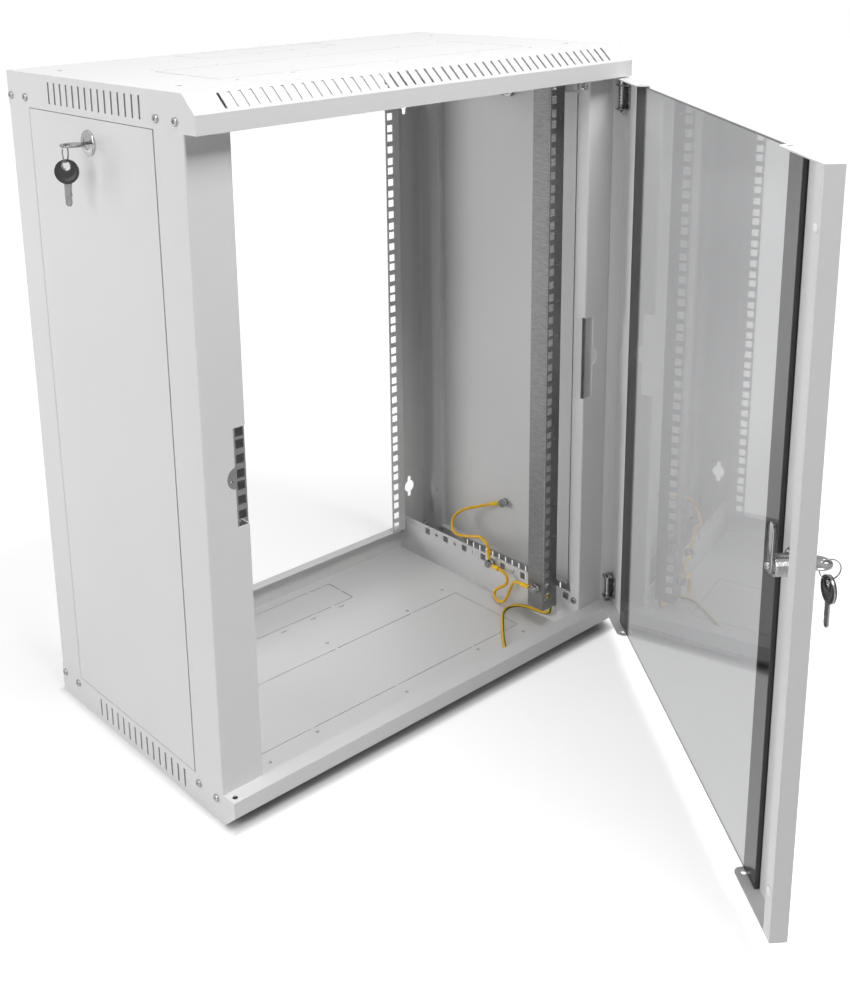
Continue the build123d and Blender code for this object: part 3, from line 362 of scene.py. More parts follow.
@dataclass(frozen=True)
class Paint(Finish):
    """Powder coat: faint orange peel, with a slow drift of tone and gloss.

    Args:
        peel: Scale of the orange peel.
        specks: Scale of the finer grain on it.
    """

    peel: float = 420.0
    specks: float = 2600.0

    def shade(self, graph: Graph) -> None:
        """Adds the drift, the gloss and two sizes of relief."""
        fine = graph.math("MULTIPLY", graph.noise(self.specks, 1.0), 0.35)
        graph.bump(graph.math("ADD", graph.noise(self.peel, 2.0), fine), 0.05, 0.4 * MM)
        graph.surface(
            Base_Color=graph.tones(graph.noise(7.0, 2.0), self.colour, (0.985, 1.01)),
            Roughness=graph.span(graph.noise(35.0), self.roughness),
            Specular_IOR_Level=0.45,
        )


@dataclass(frozen=True)
class ZincSheet(Finish):
    """Galvanised sheet: faint mottled spangle with fine lines drawn along the strip.

    Args:
        grain: Scale of the spangle.
        lines: Scale of the drawn lines.
    """

    grain: float = 800.0
    lines: float = 900.0

    def shade(self, graph: Graph) -> None:
        """Adds the spangle, the lines and their gloss."""
        across = graph.stretched(1.0, 1.0, 0.4)
        cells = graph.add("ShaderNodeTexVoronoi", Vector=across, Scale=self.grain)
        mottle = graph.noise(self.grain, 4.0, graph.stretched(1.0, 1.0, 0.5))
        streak = graph.noise(self.lines, 3.0, graph.stretched(0.5, 0.1, 1.0))
        tone = graph.tones(mottle, self.colour, (0.94, 1.04))
        spangle = graph.ramp(cells.outputs["Color"], (0.0, grey(0.94)), (1.0, grey(1.0)))
        fine = graph.ramp(streak, (0.36, grey(0.7)), (0.62, grey(1.0)))
        graph.bump(streak, 0.08, 0.1 * MM)
        graph.surface(
            Base_Color=graph.blend(graph.blend(tone, spangle, 0.8), fine, 0.8),
            Roughness=graph.span(mottle, self.roughness),
            Metallic=0.75,
        )


@dataclass(frozen=True)
class Metal(Finish):
    """Bright plated metal with fine turning marks and handling haze.

    Args:
        scratch: Scale of the marks.
        stretch: Factors on the coordinates that draw the marks out.
    """

    scratch: float = 900.0
    stretch: Point = (1.0, 1.0, 0.08)

    def shade(self, graph: Graph) -> None:
        """Adds the marks and the haze."""
        marks = graph.noise(self.scratch, 3.0, graph.stretched(*self.stretch))
        graph.bump(marks, 0.06, 0.08 * MM)
        graph.surface(
            Base_Color=graph.tones(graph.noise(110.0), self.colour, (0.82, 1.06)),
            Roughness=graph.span(marks, self.roughness),
            Metallic=1.0,
        )


@dataclass(frozen=True)
class Plastic(Finish):
    """Moulded or extruded plastic with a fine grain and a soft change of tone.

    Args:
        grain: Scale of the grain.
        depth: Strength of its relief.
    """

    grain: float = 1400.0
    depth: float = 0.08

    def shade(self, graph: Graph) -> None:
        """Adds the grain and the change of tone."""
        grain = graph.noise(self.grain, 2.0)
        graph.bump(grain, self.depth, 0.1 * MM)
        graph.surface(
            Base_Color=graph.tones(graph.noise(90.0, 2.0), self.colour, (0.86, 1.05)),
            Roughness=graph.span(grain, self.roughness),
        )


@dataclass(frozen=True)
class Glass(Finish):
    """Clear toughened glass with a grey body tint and a barely wavy face."""

    def shade(self, graph: Graph) -> None:
        """Adds the tint, the clearness and the waves."""
        graph.bump(graph.noise(5.0, 1.0), 0.02, 0.6 * MM)
        graph.surface(
            Base_Color=graph.tones(graph.noise(3.0, 1.0), self.colour, (0.99, 1.0), 0.35),
            Roughness=self.roughness[0],
            Transmission_Weight=1.0,
            IOR=1.45,
            Specular_IOR_Level=0.28,
        )


PAINT = Paint("powder_coat_light_grey", Slot.PAINT, grey(0.68), (0.3, 0.42))
ZINC_SHEET = ZincSheet("galvanised_sheet", Slot.ZINC_SHEET, grey(0.33), (0.34, 0.5))
# Painted shade: the fastener, lock and key greys are darker than bare plating, standing in for the
# shade in their recesses
FASTENER = Metal("zinc_plated_fastener", Slot.ZINC_FASTENER, grey(0.40), (0.14, 0.3))
LOCK = Metal("nickel_plated_lock", Slot.LOCK, grey(0.40), (0.05, 0.16))
KEY = Metal("plated_key_steel", Slot.KEY, grey(0.27), (0.1, 0.24))
COVER = Plastic("black_moulded_cover", Slot.COVER, grey(0.012), (0.22, 0.34))
GLASS = Glass("grey_tinted_glass", Slot.GLASS, (0.46, 0.463, 0.47, 1.0), (0.0, 0.0))
# Painted shade: the pane's ground edge bands are near black, for the dark look of its edges and the
# shadow beside them
GROUND_EDGE_SHADE = Plastic("ground_glass_edge", Slot.GLASS, grey(0.035), (0.3, 0.45))
TAPE = Plastic("black_bonding_tape", Slot.TAPE, grey(0.012), (0.28, 0.42))
BUMPER = Plastic("soft_clear_bumper", Slot.BUMPER, grey(0.82), (0.2, 0.3))
LEAD = Plastic("yellow_insulation", Slot.LEAD, (0.86, 0.48, 0.006, 1.0), (0.26, 0.38))
STRIPED_LEAD = Plastic(
    "yellow_striped_insulation", Slot.STRIPED_LEAD, (0.80, 0.50, 0.01, 1.0), (0.32, 0.45)
)
STRIPE = Plastic("green_stripe", Slot.STRIPED_LEAD, (0.012, 0.10, 0.012, 1.0), (0.32, 0.45))
SLEEVE = Plastic("yellow_crimp_sleeve", Slot.SLEEVE, (0.96, 0.60, 0.004, 1.0), (0.24, 0.36))
TERMINAL = Metal(
    "tinned_terminal", Slot.TERMINAL, mixed((1.0, 0.98, 0.94, 1.0), 0.68), (0.2, 0.36)
)
# Where two finishes share a slot, the first is the one that the CAD nodes get
FINISHES = (PAINT, ZINC_SHEET, FASTENER, LOCK, KEY, COVER, GLASS, GROUND_EDGE_SHADE)
FINISHES += (TAPE, BUMPER, LEAD, STRIPED_LEAD, STRIPE, SLEEVE, TERMINAL)


@dataclass
class Workshop:
    """Shared state of the scene: the frame and the materials.

    Args:
        materials: Materials by finish name.
    """

    frame: dict
    materials: dict[str, bpy.types.Material]

    @classmethod
    def open(cls) -> Workshop:
        """Loads the frame and makes every material."""
        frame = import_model()
        return cls(frame, {finish.name: finish.build() for finish in FINISHES})

    def paint_nodes(self) -> None:
        """Gives every CAD node the finish of its material slot."""
        by_slot = {finish.slot.value: finish for finish in reversed(FINISHES)}
        for entry in self.frame["record"]["subparts"]:
            node = self.frame["nodes"][entry["node"]]
            node.data.materials.clear()
            node.data.materials.append(self.materials[by_slot[entry["material_slot"]].name])

    def dress(self, piece: Piece, finish: Finish, body: str, bend: Bend | None = None) -> Piece:
        """Gives a new piece its material and body.

        Args:
            piece: The new object.
            finish: Its finish.
            body: Name of the CAD body that it rides on.
            bend: If given, the piece's transform is baked into its mesh and it rides on no body.

        Returns:
            The same object.
        """
        piece.data.materials.append(self.materials[finish.name])
        if bend is None:
            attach(piece, body)
        else:
            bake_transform(piece)
        LOG.info("piece %s on %s", piece.name, body)
        return piece

    def make(
        self, shape: Shape, name: str, finish: Finish, body: str, node: str, smooth: float = 35.0
    ) -> Piece:
        """Makes a piece that stands for a CAD node.

        Args:
            shape: Its shape.
            name: Its name.
            finish: Its finish.
            body: Name of the CAD body that it rides on.
            node: Name of the CAD node.
            smooth: Greatest angle, in degrees, that is shaded smooth.

        Returns:
            The new object.
        """
        piece = self.dress(shape.object(name, smooth), finish, body)
        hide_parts(node)
        return piece


@dataclass(frozen=True)
class Bend:
    """How a soft piece passes from one body to another.

    Args:
        body: Name of the second CAD body; not used.
        start: Point up to which it follows the first; not used.
        end: Point from which it follows the second; not used.
    """

    body: str
    start: Point
    end: Point


@dataclass
class Shape:
    """Mesh data in numpy, in metres.

    Args:
        points: Vertices, one row each.
        faces: Vertex numbers of each face.
    """

    points: np.ndarray
    faces: list[tuple[int, ...]]

    def __add__(self, other: Shape) -> Shape:
        """Both shapes as one."""
        shift = len(self.points)
        faces = self.faces + [tuple(i + shift for i in face) for face in other.faces]
        return Shape(np.vstack([self.points, other.points]), faces)

    def moved(self, place: Place) -> Shape:
        """Shape carried from a local frame to the cabinet's."""
        return Shape(place.carry(self.points), self.faces)

    def laid(
        self,
        shift: Point = (0.0, 0.0, 0.0),
        signs: Point = (1.0, 1.0, 1.0),
        order: Sequence[int] = (0, 1, 2),
    ) -> Shape:
        """Shape with its axes put in a new order, then times the signs, then shifted."""
        return Shape(self.points[:, list(order)] * signs + shift, self.faces)

    def object(self, name: str, smooth: float = 35.0) -> Piece:
        """Blender object of the shape.

        Args:
            name: Name of the object and its mesh.
            smooth: Greatest angle, in degrees, that is shaded smooth.

        Returns:
            The new object, linked to the scene.
        """
        mesh = bpy.data.meshes.new(name)
        mesh.from_pydata(self.points.tolist(), [], self.faces)
        self.seal(mesh)
        piece = bpy.data.objects.new(name, mesh)
        bpy.context.scene.collection.objects.link(piece)
        mesh.shade_smooth()
        mesh.set_sharp_from_angle(angle=math.radians(smooth))
        return piece

    @staticmethod
    def seal(mesh: bpy.types.Mesh) -> None:
        """Merges doubled points, closes open rims and turns the faces outwards.

        Args:
            mesh: The mesh to seal.
        """
        work = bmesh.new()
        work.from_mesh(mesh)
        bmesh.ops.remove_doubles(work, verts=work.verts, dist=2e-6)
        rims = [edge for edge in work.edges if edge.is_boundary]
        bmesh.ops.holes_fill(work, edges=rims, sides=0)
        bmesh.ops.recalc_face_normals(work, faces=work.faces)
        work.to_mesh(mesh)
        work.free()


@dataclass(frozen=True)
class Place:
    """Local frame in the cabinet: Z is the piece's own axis.

    Args:
        origin: Origin in metres.
        x_axis: Direction of local X.
        z_axis: Direction of local Z.
    """

    origin: Point
    x_axis: Point
    z_axis: Point

    def carry(self, points: np.ndarray) -> np.ndarray:
        """Local points in the cabinet's frame: each times the frame's unit axes, plus its origin.

        Args:
            points: Points, one row each.

        Returns:
            The carried points.
        """
        z_axis = np.array(self.z_axis) / np.linalg.norm(self.z_axis)
        x_axis = np.array(self.x_axis) - np.dot(self.x_axis, z_axis) * z_axis
        x_axis = x_axis / np.linalg.norm(x_axis)
        y_axis = np.cross(z_axis, x_axis)
        return np.array(self.origin) + points @ np.array([x_axis, y_axis, z_axis])


def opened(points: np.ndarray) -> np.ndarray:
    """Points of the closed door, turned about its hinge to where it stands open."""
    x, y, z = (points - HINGE_AXIS).T
    cosine, sine = math.cos(DOOR_TURN), math.sin(DOOR_TURN)
    return np.column_stack([x * cosine - y * sine, x * sine + y * cosine, z]) + HINGE_AXIS


def joined(shapes: Sequence[Shape]) -> Shape:
    """One shape made of several."""
    return sum(shapes[1:], shapes[0])


def round_angles(count: int) -> np.ndarray:
    """Even angles round a circle, in radians."""
    return np.linspace(0, 2 * math.pi, count, endpoint=False)


def circle(radius: float, centre: Pair = (0.0, 0.0), count: int = 64) -> np.ndarray:
    """Points of a circle in a plane."""
    angles = round_angles(count)
    return np.column_stack([radius * np.cos(angles), radius * np.sin(angles)]) + centre


def tube_faces(
    rows: int, segments: int, capped: bool = False, closed: bool = False
) -> list[tuple[int, ...]]:
    """Faces of a tube-like grid whose rows are rings.

    Args:
        rows: Number of rings.
        segments: Points in each ring.
        capped: Whether the first and last ring are filled.
        closed: Whether the last ring joins the first.

    Returns:
        Vertex numbers of each face.
    """
    row = np.arange(rows if closed else rows - 1)[:, None] * segments
    i = np.arange(segments)[None, :]
    j = (i + 1) % segments
    high = (row + segments) % (rows * segments)
    quads = np.stack([row + i, row + j, high + j, high + i], axis=-1).reshape(-1, 4)
    faces = [tuple(quad) for quad in quads.tolist()]
    if capped:
        faces.append(tuple(reversed(range(segments))))
        faces.append(tuple(range((rows - 1) * segments, rows * segments)))
    return faces


def rings(
    radius: np.ndarray, height: np.ndarray, count: int, capped: bool = False, closed: bool = False
) -> Shape:
    """Rings about Z: X and Y are the radius times the cosine and sine of the angle.

    Args:
        radius: Radius of each ring, as a column, or of each of its points.
        height: Height of each ring, as a column, or of each of its points.
        count: Points in each ring.
        capped: Whether the first and last ring are filled.
        closed: Whether the last ring joins the first.

    Returns:
        The shape.
    """
    angles = round_angles(count)
    x, y = radius * np.cos(angles), radius * np.sin(angles)
    points = np.stack([x, y, np.broadcast_to(height, x.shape)], axis=-1).reshape(-1, 3)
    return Shape(points, tube_faces(len(x), count, capped, closed))


def lathe(profile: Sequence[Pair], segments: int = 40) -> Shape:
    """Turned shape about local Z.

    Args:
        profile: Radius and height pairs, anticlockwise seen with Z up and the radius to the right.
        segments: Divisions round the axis.

    Returns:
        The turned shape.
    """
    radius, height = np.maximum(np.array(profile, float), (1e-6, -np.inf)).T
    return rings(radius[:, None], height[:, None], segments)


def thread(radius: float, depth: float, pitch: float, z: np.ndarray, count: int) -> np.ndarray:
    """Radius over a screw thread: it falls and rises once per pitch along Z and once round it.

    Args:
        radius: Outer radius.
        depth: Depth of the thread.
        pitch: Pitch of the thread.
        z: Heights, as a column.
        count: Points round the axis.

    Returns:
        The radius at each height and angle.
    """
    phase = (z / pitch - round_angles(count) / (2 * math.pi)) % 1.0
    return radius - depth * np.abs(2 * phase - 1)


def unit_rows(rows: np.ndarray) -> np.ndarray:
    """Rows divided by their lengths."""
    return rows / np.linalg.norm(rows, axis=1)[:, None]


def swept(path: np.ndarray, section: np.ndarray) -> Shape:
    """Section carried along a path.

    At each point the section's first axis is the tangent's cross product with one fixed
    direction, and its second axis is square to both. The fixed direction is the one, of a grid
    over the sphere, that the path's tangents stay furthest from.

    Args:
        path: Points of the line, one row each.
        section: Points of the closed section, in its own plane.

    Returns:
        The swept shape, with flat ends.
    """
    tangent = unit_rows(np.gradient(path, axis=0))
    turn, rise = np.meshgrid(np.linspace(0, math.pi, 24), np.linspace(-1.5, 1.5, 13))
    flat = np.cos(rise)
    sphere = np.stack([flat * np.cos(turn), flat * np.sin(turn), np.sin(rise)], axis=-1)
    fixed = sphere.reshape(-1, 3)
    clear = fixed[np.argmin(np.abs(fixed @ tangent.T).max(axis=1))]
    side = unit_rows(np.cross(tangent, clear))
    up = np.cross(tangent, side)
    across = section[:, 0, None] * side[:, None]
    points = path[:, None] + across + section[:, 1, None] * up[:, None]
    return Shape(points.reshape(-1, 3), tube_faces(len(path), len(section), capped=True))


def tube(path: np.ndarray, radius: float, segments: int = 14) -> Shape:
    """Round tube along a path."""
    return swept(path, circle(radius, count=segments))


def strip(path: np.ndarray, widths: np.ndarray, thickness: float) -> Shape:
    """Bent strip with rounded edges: a soft rectangle carried along a path in local YZ.

    Args:
        path: Points of the middle line, as Y and Z.
        widths: Left and right limits in X at each point.
        thickness: Thickness of the strip.

    Returns:
        The closed strip.
    """
    tangent = unit_rows(np.gradient(path, axis=0))
    normal = np.column_stack([-tangent[:, 1], tangent[:, 0]])
    corner = np.radians(np.arange(0, 91, 30))
    quarter = np.column_stack([np.cos(corner), np.sin(corner)])
    edge = thickness * 0.3
    section = []
    for sx, sy in ((1, 1), (-1, 1), (-1, -1), (1, -1)):
        section.append(np.column_stack([np.full(4, sx), quarter[:: sx * sy] * (sx, sy)]))
    loop = np.vstack(section)
    half = (widths[:, 1] - widths[:, 0]) / 2
    middle = (widths[:, 1] + widths[:, 0]) / 2
    x = middle[:, None] + loop[:, 0] * (half - edge)[:, None] + loop[:, 1] * edge
    side = np.where(loop[:, 2] < 0, -1, 1)
    lift = side * (thickness / 2 - edge) + loop[:, 2] * edge
    level = path[:, None] + normal[:, None] * lift[:, None]
    points = np.concatenate([x[..., None], level], axis=-1).reshape(-1, 3)
    return Shape(points, tube_faces(len(path), len(loop), capped=True))


def rounded_path(corners: Sequence[Pair], radius: float, steps: int = 7) -> np.ndarray:
    """Path through corners in a plane, with an arc in place of each inner corner.

    Args:
        corners: The path's corners and ends.
        radius: Radius of the arcs.
        steps: Points in each arc.

    Returns:
        Points of the path.
    """
    places = np.array(corners, float)
    points = [places[:1]]
    for before, corner, after in zip(places, places[1:], places[2:]):
        inward, outward = unit_rows(np.array([before - corner, after - corner]))
        half = math.acos(float(np.clip(inward @ outward, -1, 1))) / 2
        reach = radius / math.tan(half)
        bisector = unit_rows((inward + outward)[None])[0]
        middle = corner + bisector * radius / math.sin(half)
        start, end = corner + inward * reach - middle, corner + outward * reach - middle
        share = np.linspace(0, 1, steps)[:, None]
        points.append(middle + unit_rows(start * (1 - share) + end * share) * radius)
    points.append(places[-1:])
    return np.vstack(points)


def holed_plate(outline: np.ndarray, hole: np.ndarray, rows: Sequence[Pair]) -> Shape:
    """Closed plate between a hole and an outline.

    Each row of points lies the given share of the way from the hole to the outline, at the given
    height, and the last row joins the first.

    Args:
        outline: Outer points, in local XY.
        hole: Hole's points, as many, at the same turns.
        rows: Share of the way outwards and height of each row.

    Returns:
        The plate.
    """
    share, height = np.array(rows, float).T
    flat = hole[None] + (outline - hole)[None] * share[:, None, None]
    z = np.repeat(height[:, None], len(outline), axis=1)
    points = np.concatenate([flat, z[..., None]], axis=-1).reshape(-1, 3)
    return Shape(points, tube_faces(len(rows), len(outline), closed=True))


@dataclass(frozen=True)
class PanHeadScrew:
    """Cross-recessed pan head screw, its seat on local XY and its head along +Z.

    Args:
        radius: Radius of the head.
        height: Height of the head.
        shank: Radius of the shank.
        length: Length of the shank below the seat.
        arm: Reach of the recess from the middle.
        arm_width: Half width of each of its arms.
        depth: Depth of the recess.
        pitch: Pitch of the thread.
    """

    radius: float = 4.3 * MM
    height: float = 2.4 * MM
    shank: float = 2.3 * MM
    length: float = 7.0 * MM
    arm: float = 2.5 * MM
    arm_width: float = 0.55 * MM
    depth: float = 1.3 * MM
    pitch: float = 0.8 * MM

    def shape(self) -> Shape:
        """Rings from the crown to the tip of the shank.

        The head is a height over each ring: a low dome that rounds off at the rim, less the
        recess, which is a smooth step in the smaller and the larger of |x| and |y|. Below it the
        radius zigzags down the thread.

        Returns:
            The screw.
        """
        segments = 44
        radii = np.linspace(0.001, 1.0, 24)[:, None] ** 0.9 * self.radius
        turns = int(self.length / self.pitch)
        crests = -self.length * np.arange(turns) / turns
        thread_z = np.column_stack([crests, crests - self.pitch / 2]).ravel()
        thread_r = self.shank - np.tile([0.0, 0.25 * MM], turns)
        below_r = np.r_[self.radius, thread_r, 0.8 * self.shank, 0.001 * MM]
        below_z = np.r_[0.0, thread_z, -self.length, -self.length - 0.1 * MM]
        rim = np.clip((radii / self.radius - 0.78) / 0.22, 0, 1)
        dome = self.height * (1 - 0.18 * (radii / self.radius) ** 2)
        dome = dome - self.height * 0.62 * (1 - np.sqrt(1 - rim**2 * 0.999))
        across = np.abs(radii * np.cos(round_angles(segments)))
        along = np.abs(radii * np.sin(round_angles(segments)))
        inside = np.clip((self.arm_width - np.minimum(across, along)) / (0.25 * MM), 0, 1)
        inside *= np.clip((self.arm - np.maximum(across, along)) / (0.5 * MM), 0, 1)
        below = np.repeat(below_z[:, None], segments, axis=1)
        z = np.vstack([dome - self.depth * inside, below])
        return rings(np.vstack([radii, below_r[:, None]]), z, segments, capped=True)


@dataclass(frozen=True)
class HexNut:
    """Hexagon nut standing on local XY, its corners turned off at both faces.

    Args:
        flats: Size across flats.
        height: Height of the nut.
        hole: Radius of its hole.
    """

    flats: float = 10 * MM
    height: float = 4.5 * MM
    hole: float = 2.9 * MM

    def shape(self) -> Shape:
        """Outer radius is the hexagon's, cut by a cone that rises from each face at 30 degrees.

        Returns:
            The nut.
        """
        segments = 72
        hexagon = self.flats / 2 / np.cos((round_angles(segments) % (math.pi / 3)) - math.pi / 6)
        depth = np.array([0.0, 0.06, 0.14, 0.24, 0.5, 0.76, 0.86, 0.94, 1.0]) * self.height
        cone = self.flats / 2 * 0.97 + np.minimum(depth, self.height - depth) * 1.73
        outer = np.minimum(hexagon[None, :], cone[:, None])
        edge = 0.25 * MM
        bore = np.full((1, segments), self.hole)
        radius = np.vstack([bore, bore + edge, outer, bore + edge, bore])
        z = np.r_[edge, 0.0, depth, self.height, self.height - edge]
        return rings(radius, z[:, None], segments, closed=True)


@dataclass(frozen=True)
class EarthLead:
    """One insulated earth lead on its smooth route.

    Args:
        name: Name of the piece.
        node: CAD node that it replaces.
        route: Control points of the line.
        finish: Finish of the insulation.
        far_end: What is on its far end; not used.
        panel: Name of the moving body at its near end, if any; a lead with one is made as a mesh
            tube that rides on no body.
    """

    name: str
    node: str
    route: list[Point]
    finish: Finish
    far_end: str
    panel: str = ""

    def curve(self) -> Piece:
        """Makes a curve object with a round section along the route.

        Returns:
            The new object, linked to the scene.
        """
        data = bpy.data.curves.new(self.name, "CURVE")
        data.dimensions = "3D"
        data.bevel_depth = LEAD_DIAMETER / 2
        data.bevel_resolution = 5
        data.resolution_u = 10
        data.use_fill_caps = True
        spline = data.splines.new("NURBS")
        spline.points.add(len(self.route) - 1)
        for point, place in zip(spline.points, self.route):
            point.co = (*place, 1.0)
        spline.order_u = 3
        spline.use_endpoint_u = True
        piece = bpy.data.objects.new(self.name, data)
        bpy.context.scene.collection.objects.link(piece)
        return piece

    def centre_line(self, piece: Piece) -> np.ndarray:
        """Points read from the curve's own line.

        Args:
            piece: The curve object.

        Returns:
            Points of the line, one row each.
        """
        bare = piece.data.copy()
        bare.bevel_depth = 0.0
        bare.use_fill_caps = False
        holder = bpy.data.objects.new(self.name + "_line", bare)
        mesh = bpy.data.meshes.new_from_object(holder)
        points = np.array([vertex.co for vertex in mesh.vertices], float)
        bpy.data.objects.remove(holder)
        bpy.data.meshes.remove(mesh)
        bpy.data.curves.remove(bare)
        return points

    def build(self, shop: Workshop, pieces: list[Piece]) -> Piece:
        """Args:
            shop: The scene's workshop.
            pieces: Separate pieces on its far end; not used.

        Returns:
            The lead's object.
        """
        piece = self.curve()
        line = self.centre_line(piece)
        bend = path = None
        if self.panel:
            bpy.data.objects.remove(piece)
            piece = tube(line, LEAD_DIAMETER / 2, 24).object(self.name)
            path = line.tolist()
            bend = Bend(self.panel, self.route[-1], self.route[0])
        shop.dress(piece, self.finish, "cabinet", bend)
        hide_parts(self.node)
        return piece


@dataclass(frozen=True)
class Stripe:
    """Green stripe drawn along an insulated lead, a little proud of it.

    Args:
        lead: The lead that carries the stripe.
        angle: Where the stripe sits round the lead, in degrees from its top.
        width: Angle that the stripe covers, in degrees.
    """

    lead: EarthLead
    angle: float = 150.0
    width: float = 120.0

    def build(self, shop: Workshop, cord: Piece) -> None:
        """Sweeps a thin band, an arc outside the lead and one inside it, along the lead's line.

        Args:
            shop: The scene's workshop.
            cord: The lead's object.
        """
        spread = np.linspace(self.angle - self.width / 2, self.angle + self.width / 2, 8)
        angles = np.radians(spread)
        arc = np.column_stack([np.cos(angles), np.sin(angles)]) * LEAD_DIAMETER / 2
        section = np.vstack([arc * 1.03, arc[::-1] * 0.97])
        piece = swept(self.lead.centre_line(cord), section).object(self.lead.name + "_stripe")
        shop.dress(piece, STRIPE, "cabinet")


@dataclass(frozen=True)
class RingTerminal:
    """Crimped ring terminal: a flat ring and neck, and the insulating sleeve on its barrel.

    Args:
        place: Frame on the ring's seat, X along the sleeve and Z off the seat.
        ring_radius: Outer radius of the ring.
        hole_radius: Radius of its hole.
        thickness: Thickness of the ring.
        neck: Length of the neck between ring and sleeve.
        neck_width: Width of the neck.
        sleeve_radius: Outer radius of the sleeve.
        sleeve_length: Length of the sleeve.
    """

    place: Place
    ring_radius: float = 5.25 * MM
    hole_radius: float = 3.0 * MM
    thickness: float = 1.0 * MM
    neck: float = 2.5 * MM
    neck_width: float = 4.2 * MM
    sleeve_radius: float = 3.2 * MM
    sleeve_length: float = 12 * MM

    def ring(self) -> Shape:
        """Flat ring, turned, with softly rounded rims, and a neck that lifts towards the barrel.

        The neck's section is a superellipse that thickens with the cube of the way along, and its
        middle rises on a smooth step.

        Returns:
            Ring and neck, in the cabinet's frame.
        """
        edge = 0.2 * MM
        inner, outer, top = self.hole_radius, self.ring_radius, self.thickness - 0.005 * MM
        profile = [(inner + edge, 0.0), (outer - edge, 0.0), (outer, edge), (outer, top - edge)]
        profile += [(outer - edge, top), (inner + edge, top), (inner, top - edge), (inner, edge)]
        ring = lathe([*profile, profile[0]], 48)
        start = self.ring_radius - 0.9 * MM
        end = self.ring_radius + self.neck + 1.5 * MM
        rows, segments = 12, 24
        along = np.linspace(0, 1, rows)
        angles = round_angles(segments)
        rise = (self.thickness / 2 + self.sleeve_radius) * (3 * along**2 - 2 * along**3)
        across = np.sign(np.sin(angles)) * np.abs(np.sin(angles)) ** 0.5
        upward = np.sign(np.cos(angles)) * np.abs(np.cos(angles)) ** 0.5
        half = self.thickness / 2
        half_height = half + (self.sleeve_radius * 0.55 - half) * along**3
        x = np.repeat(start + (end - start) * along, segments)
        y = np.tile(self.neck_width / 2 * across, rows)
        z = np.maximum((rise[:, None] + half + np.outer(half_height, upward)).ravel(), 0.0)
        neck = Shape(np.column_stack([x, y, z]), tube_faces(rows, segments, capped=True))
        return (ring + neck).moved(self.place)

    def sleeve(self) -> Shape:
        """Sleeve along X: a round tube pinched flat at two crimps and flared at the lead's end.

        The radius is a clipped ramp times one minus two bell curves, one for each crimp.

        Returns:
            The sleeve, in the cabinet's frame.
        """
        start = self.ring_radius + self.neck
        lift = self.thickness / 2 + self.sleeve_radius
        rows = segments = 40
        along = np.linspace(0, 1, rows)
        angles = round_angles(segments)
        body = self.sleeve_radius * (0.84 + 0.16 * np.clip((along - 0.62) / 0.2, 0, 1))
        body *= 1 - 0.12 * np.exp(-((along / 0.03) ** 2))
        crimps = [np.exp(-(((along - middle) / 0.075) ** 2)) for middle in (0.2, 0.48)]
        radius = body[:, None] * (1 - 0.2 * np.outer(sum(crimps), np.cos(angles) ** 2))
        x = np.repeat(start + along * self.sleeve_length, segments)
        y = (radius * np.sin(angles)).ravel()
        z = (radius * np.cos(angles)).ravel() + lift
        mouth = lathe([(2.5 * MM, 0.0), (2.3 * MM, -1.6 * MM), (1.9 * MM, -1.7 * MM)], segments)
        mouth = mouth.laid((start + self.sleeve_length, 0.0, lift), order=(2, 1, 0))
        points = np.vstack([np.column_stack([x, y, z]), mouth.points])
        return Shape(points, tube_faces(rows + 3, segments, capped=True)).moved(self.place)


@dataclass(frozen=True)
class Wiring:
    """The earth leads with their terminals, sleeves and stripe.

    Args:
        case: Seats of the terminals on the side bar and the rack rail.
        panel: Seat of the terminal on the right side panel.
        tail: Seat of the terminal on the free lead.
    """

    case: tuple[Place, ...] = (
        Place((0.2467, -0.008575, 0.046), (0, 0, 1), (-1, 0, 0)),
        Place((0.2457, -0.008575, 0.046), (0, -1, 0), (-1, 0, 0)),
        Place((0.2205, -0.113, 0.058125), (0, 1, 0), (-1, 0, 0)),
        Place((0.2497, -0.1105, 0.048125), (0, -0.2588, -0.9659), (-1, 0, 0)),
    )
    panel: Place = Place((0.2943, 0.01225, 0.113), (0, 0.9397, -0.342), (-1, 0, 0))
    tail: Place = Place((0.086, -0.148, 0.0012), (0.9925, 0.1219, 0), (0, 0, 1))

    def terminals(
        self, shop: Workshop, word: str, body: str, nodes: tuple[str, str], seats: Sequence[Place]
    ) -> list[Piece]:
        """Makes ring terminals as one piece and their sleeves as another.

        Args:
            shop: The scene's workshop.
            word: First word of the pieces' names.
            body: Name of the CAD body that they ride on.
            nodes: CAD nodes of the rings and of the sleeves.
            seats: Where the terminals are.

        Returns:
            The two pieces.
        """
        made = [RingTerminal(seat) for seat in seats]
        lugs = joined([terminal.ring() for terminal in made])
        sleeves = joined([terminal.sleeve() for terminal in made])
        return [
            shop.make(lugs, word + "_ring_terminals", TERMINAL, body, nodes[0]),
            shop.make(sleeves, word + "_crimp_sleeves", SLEEVE, body, nodes[1]),
        ]

    def build(self, shop: Workshop) -> None:
        """Makes the terminals, the three leads and the free lead's stripe.

        Args:
            shop: The scene's workshop.
        """
        case_nodes = ("case_lugs", "case_lug_sleeves")
        panel_nodes = ("panel_lug", "panel_lug_sleeve")
        self.terminals(shop, "case", "cabinet", case_nodes, self.case)
        self.terminals(shop, "panel", "right_panel", panel_nodes, [self.panel])
        tail = self.terminals(shop, "tail", "cabinet", case_nodes, [self.tail])
        panel = EarthLead(
            "panel_earth_lead", "lead_panel", PANEL_ROUTE, LEAD, "object", "right_panel"
        )
        rail = EarthLead("rail_earth_lead", "lead_rail", RAIL_ROUTE, LEAD, "object")
        free = EarthLead("free_earth_lead", "lead_tail", TAIL_ROUTE, STRIPED_LEAD, "connector")
        panel.build(shop, [])
        rail.build(shop, [])
        Stripe(free).build(shop, free.build(shop, tail))


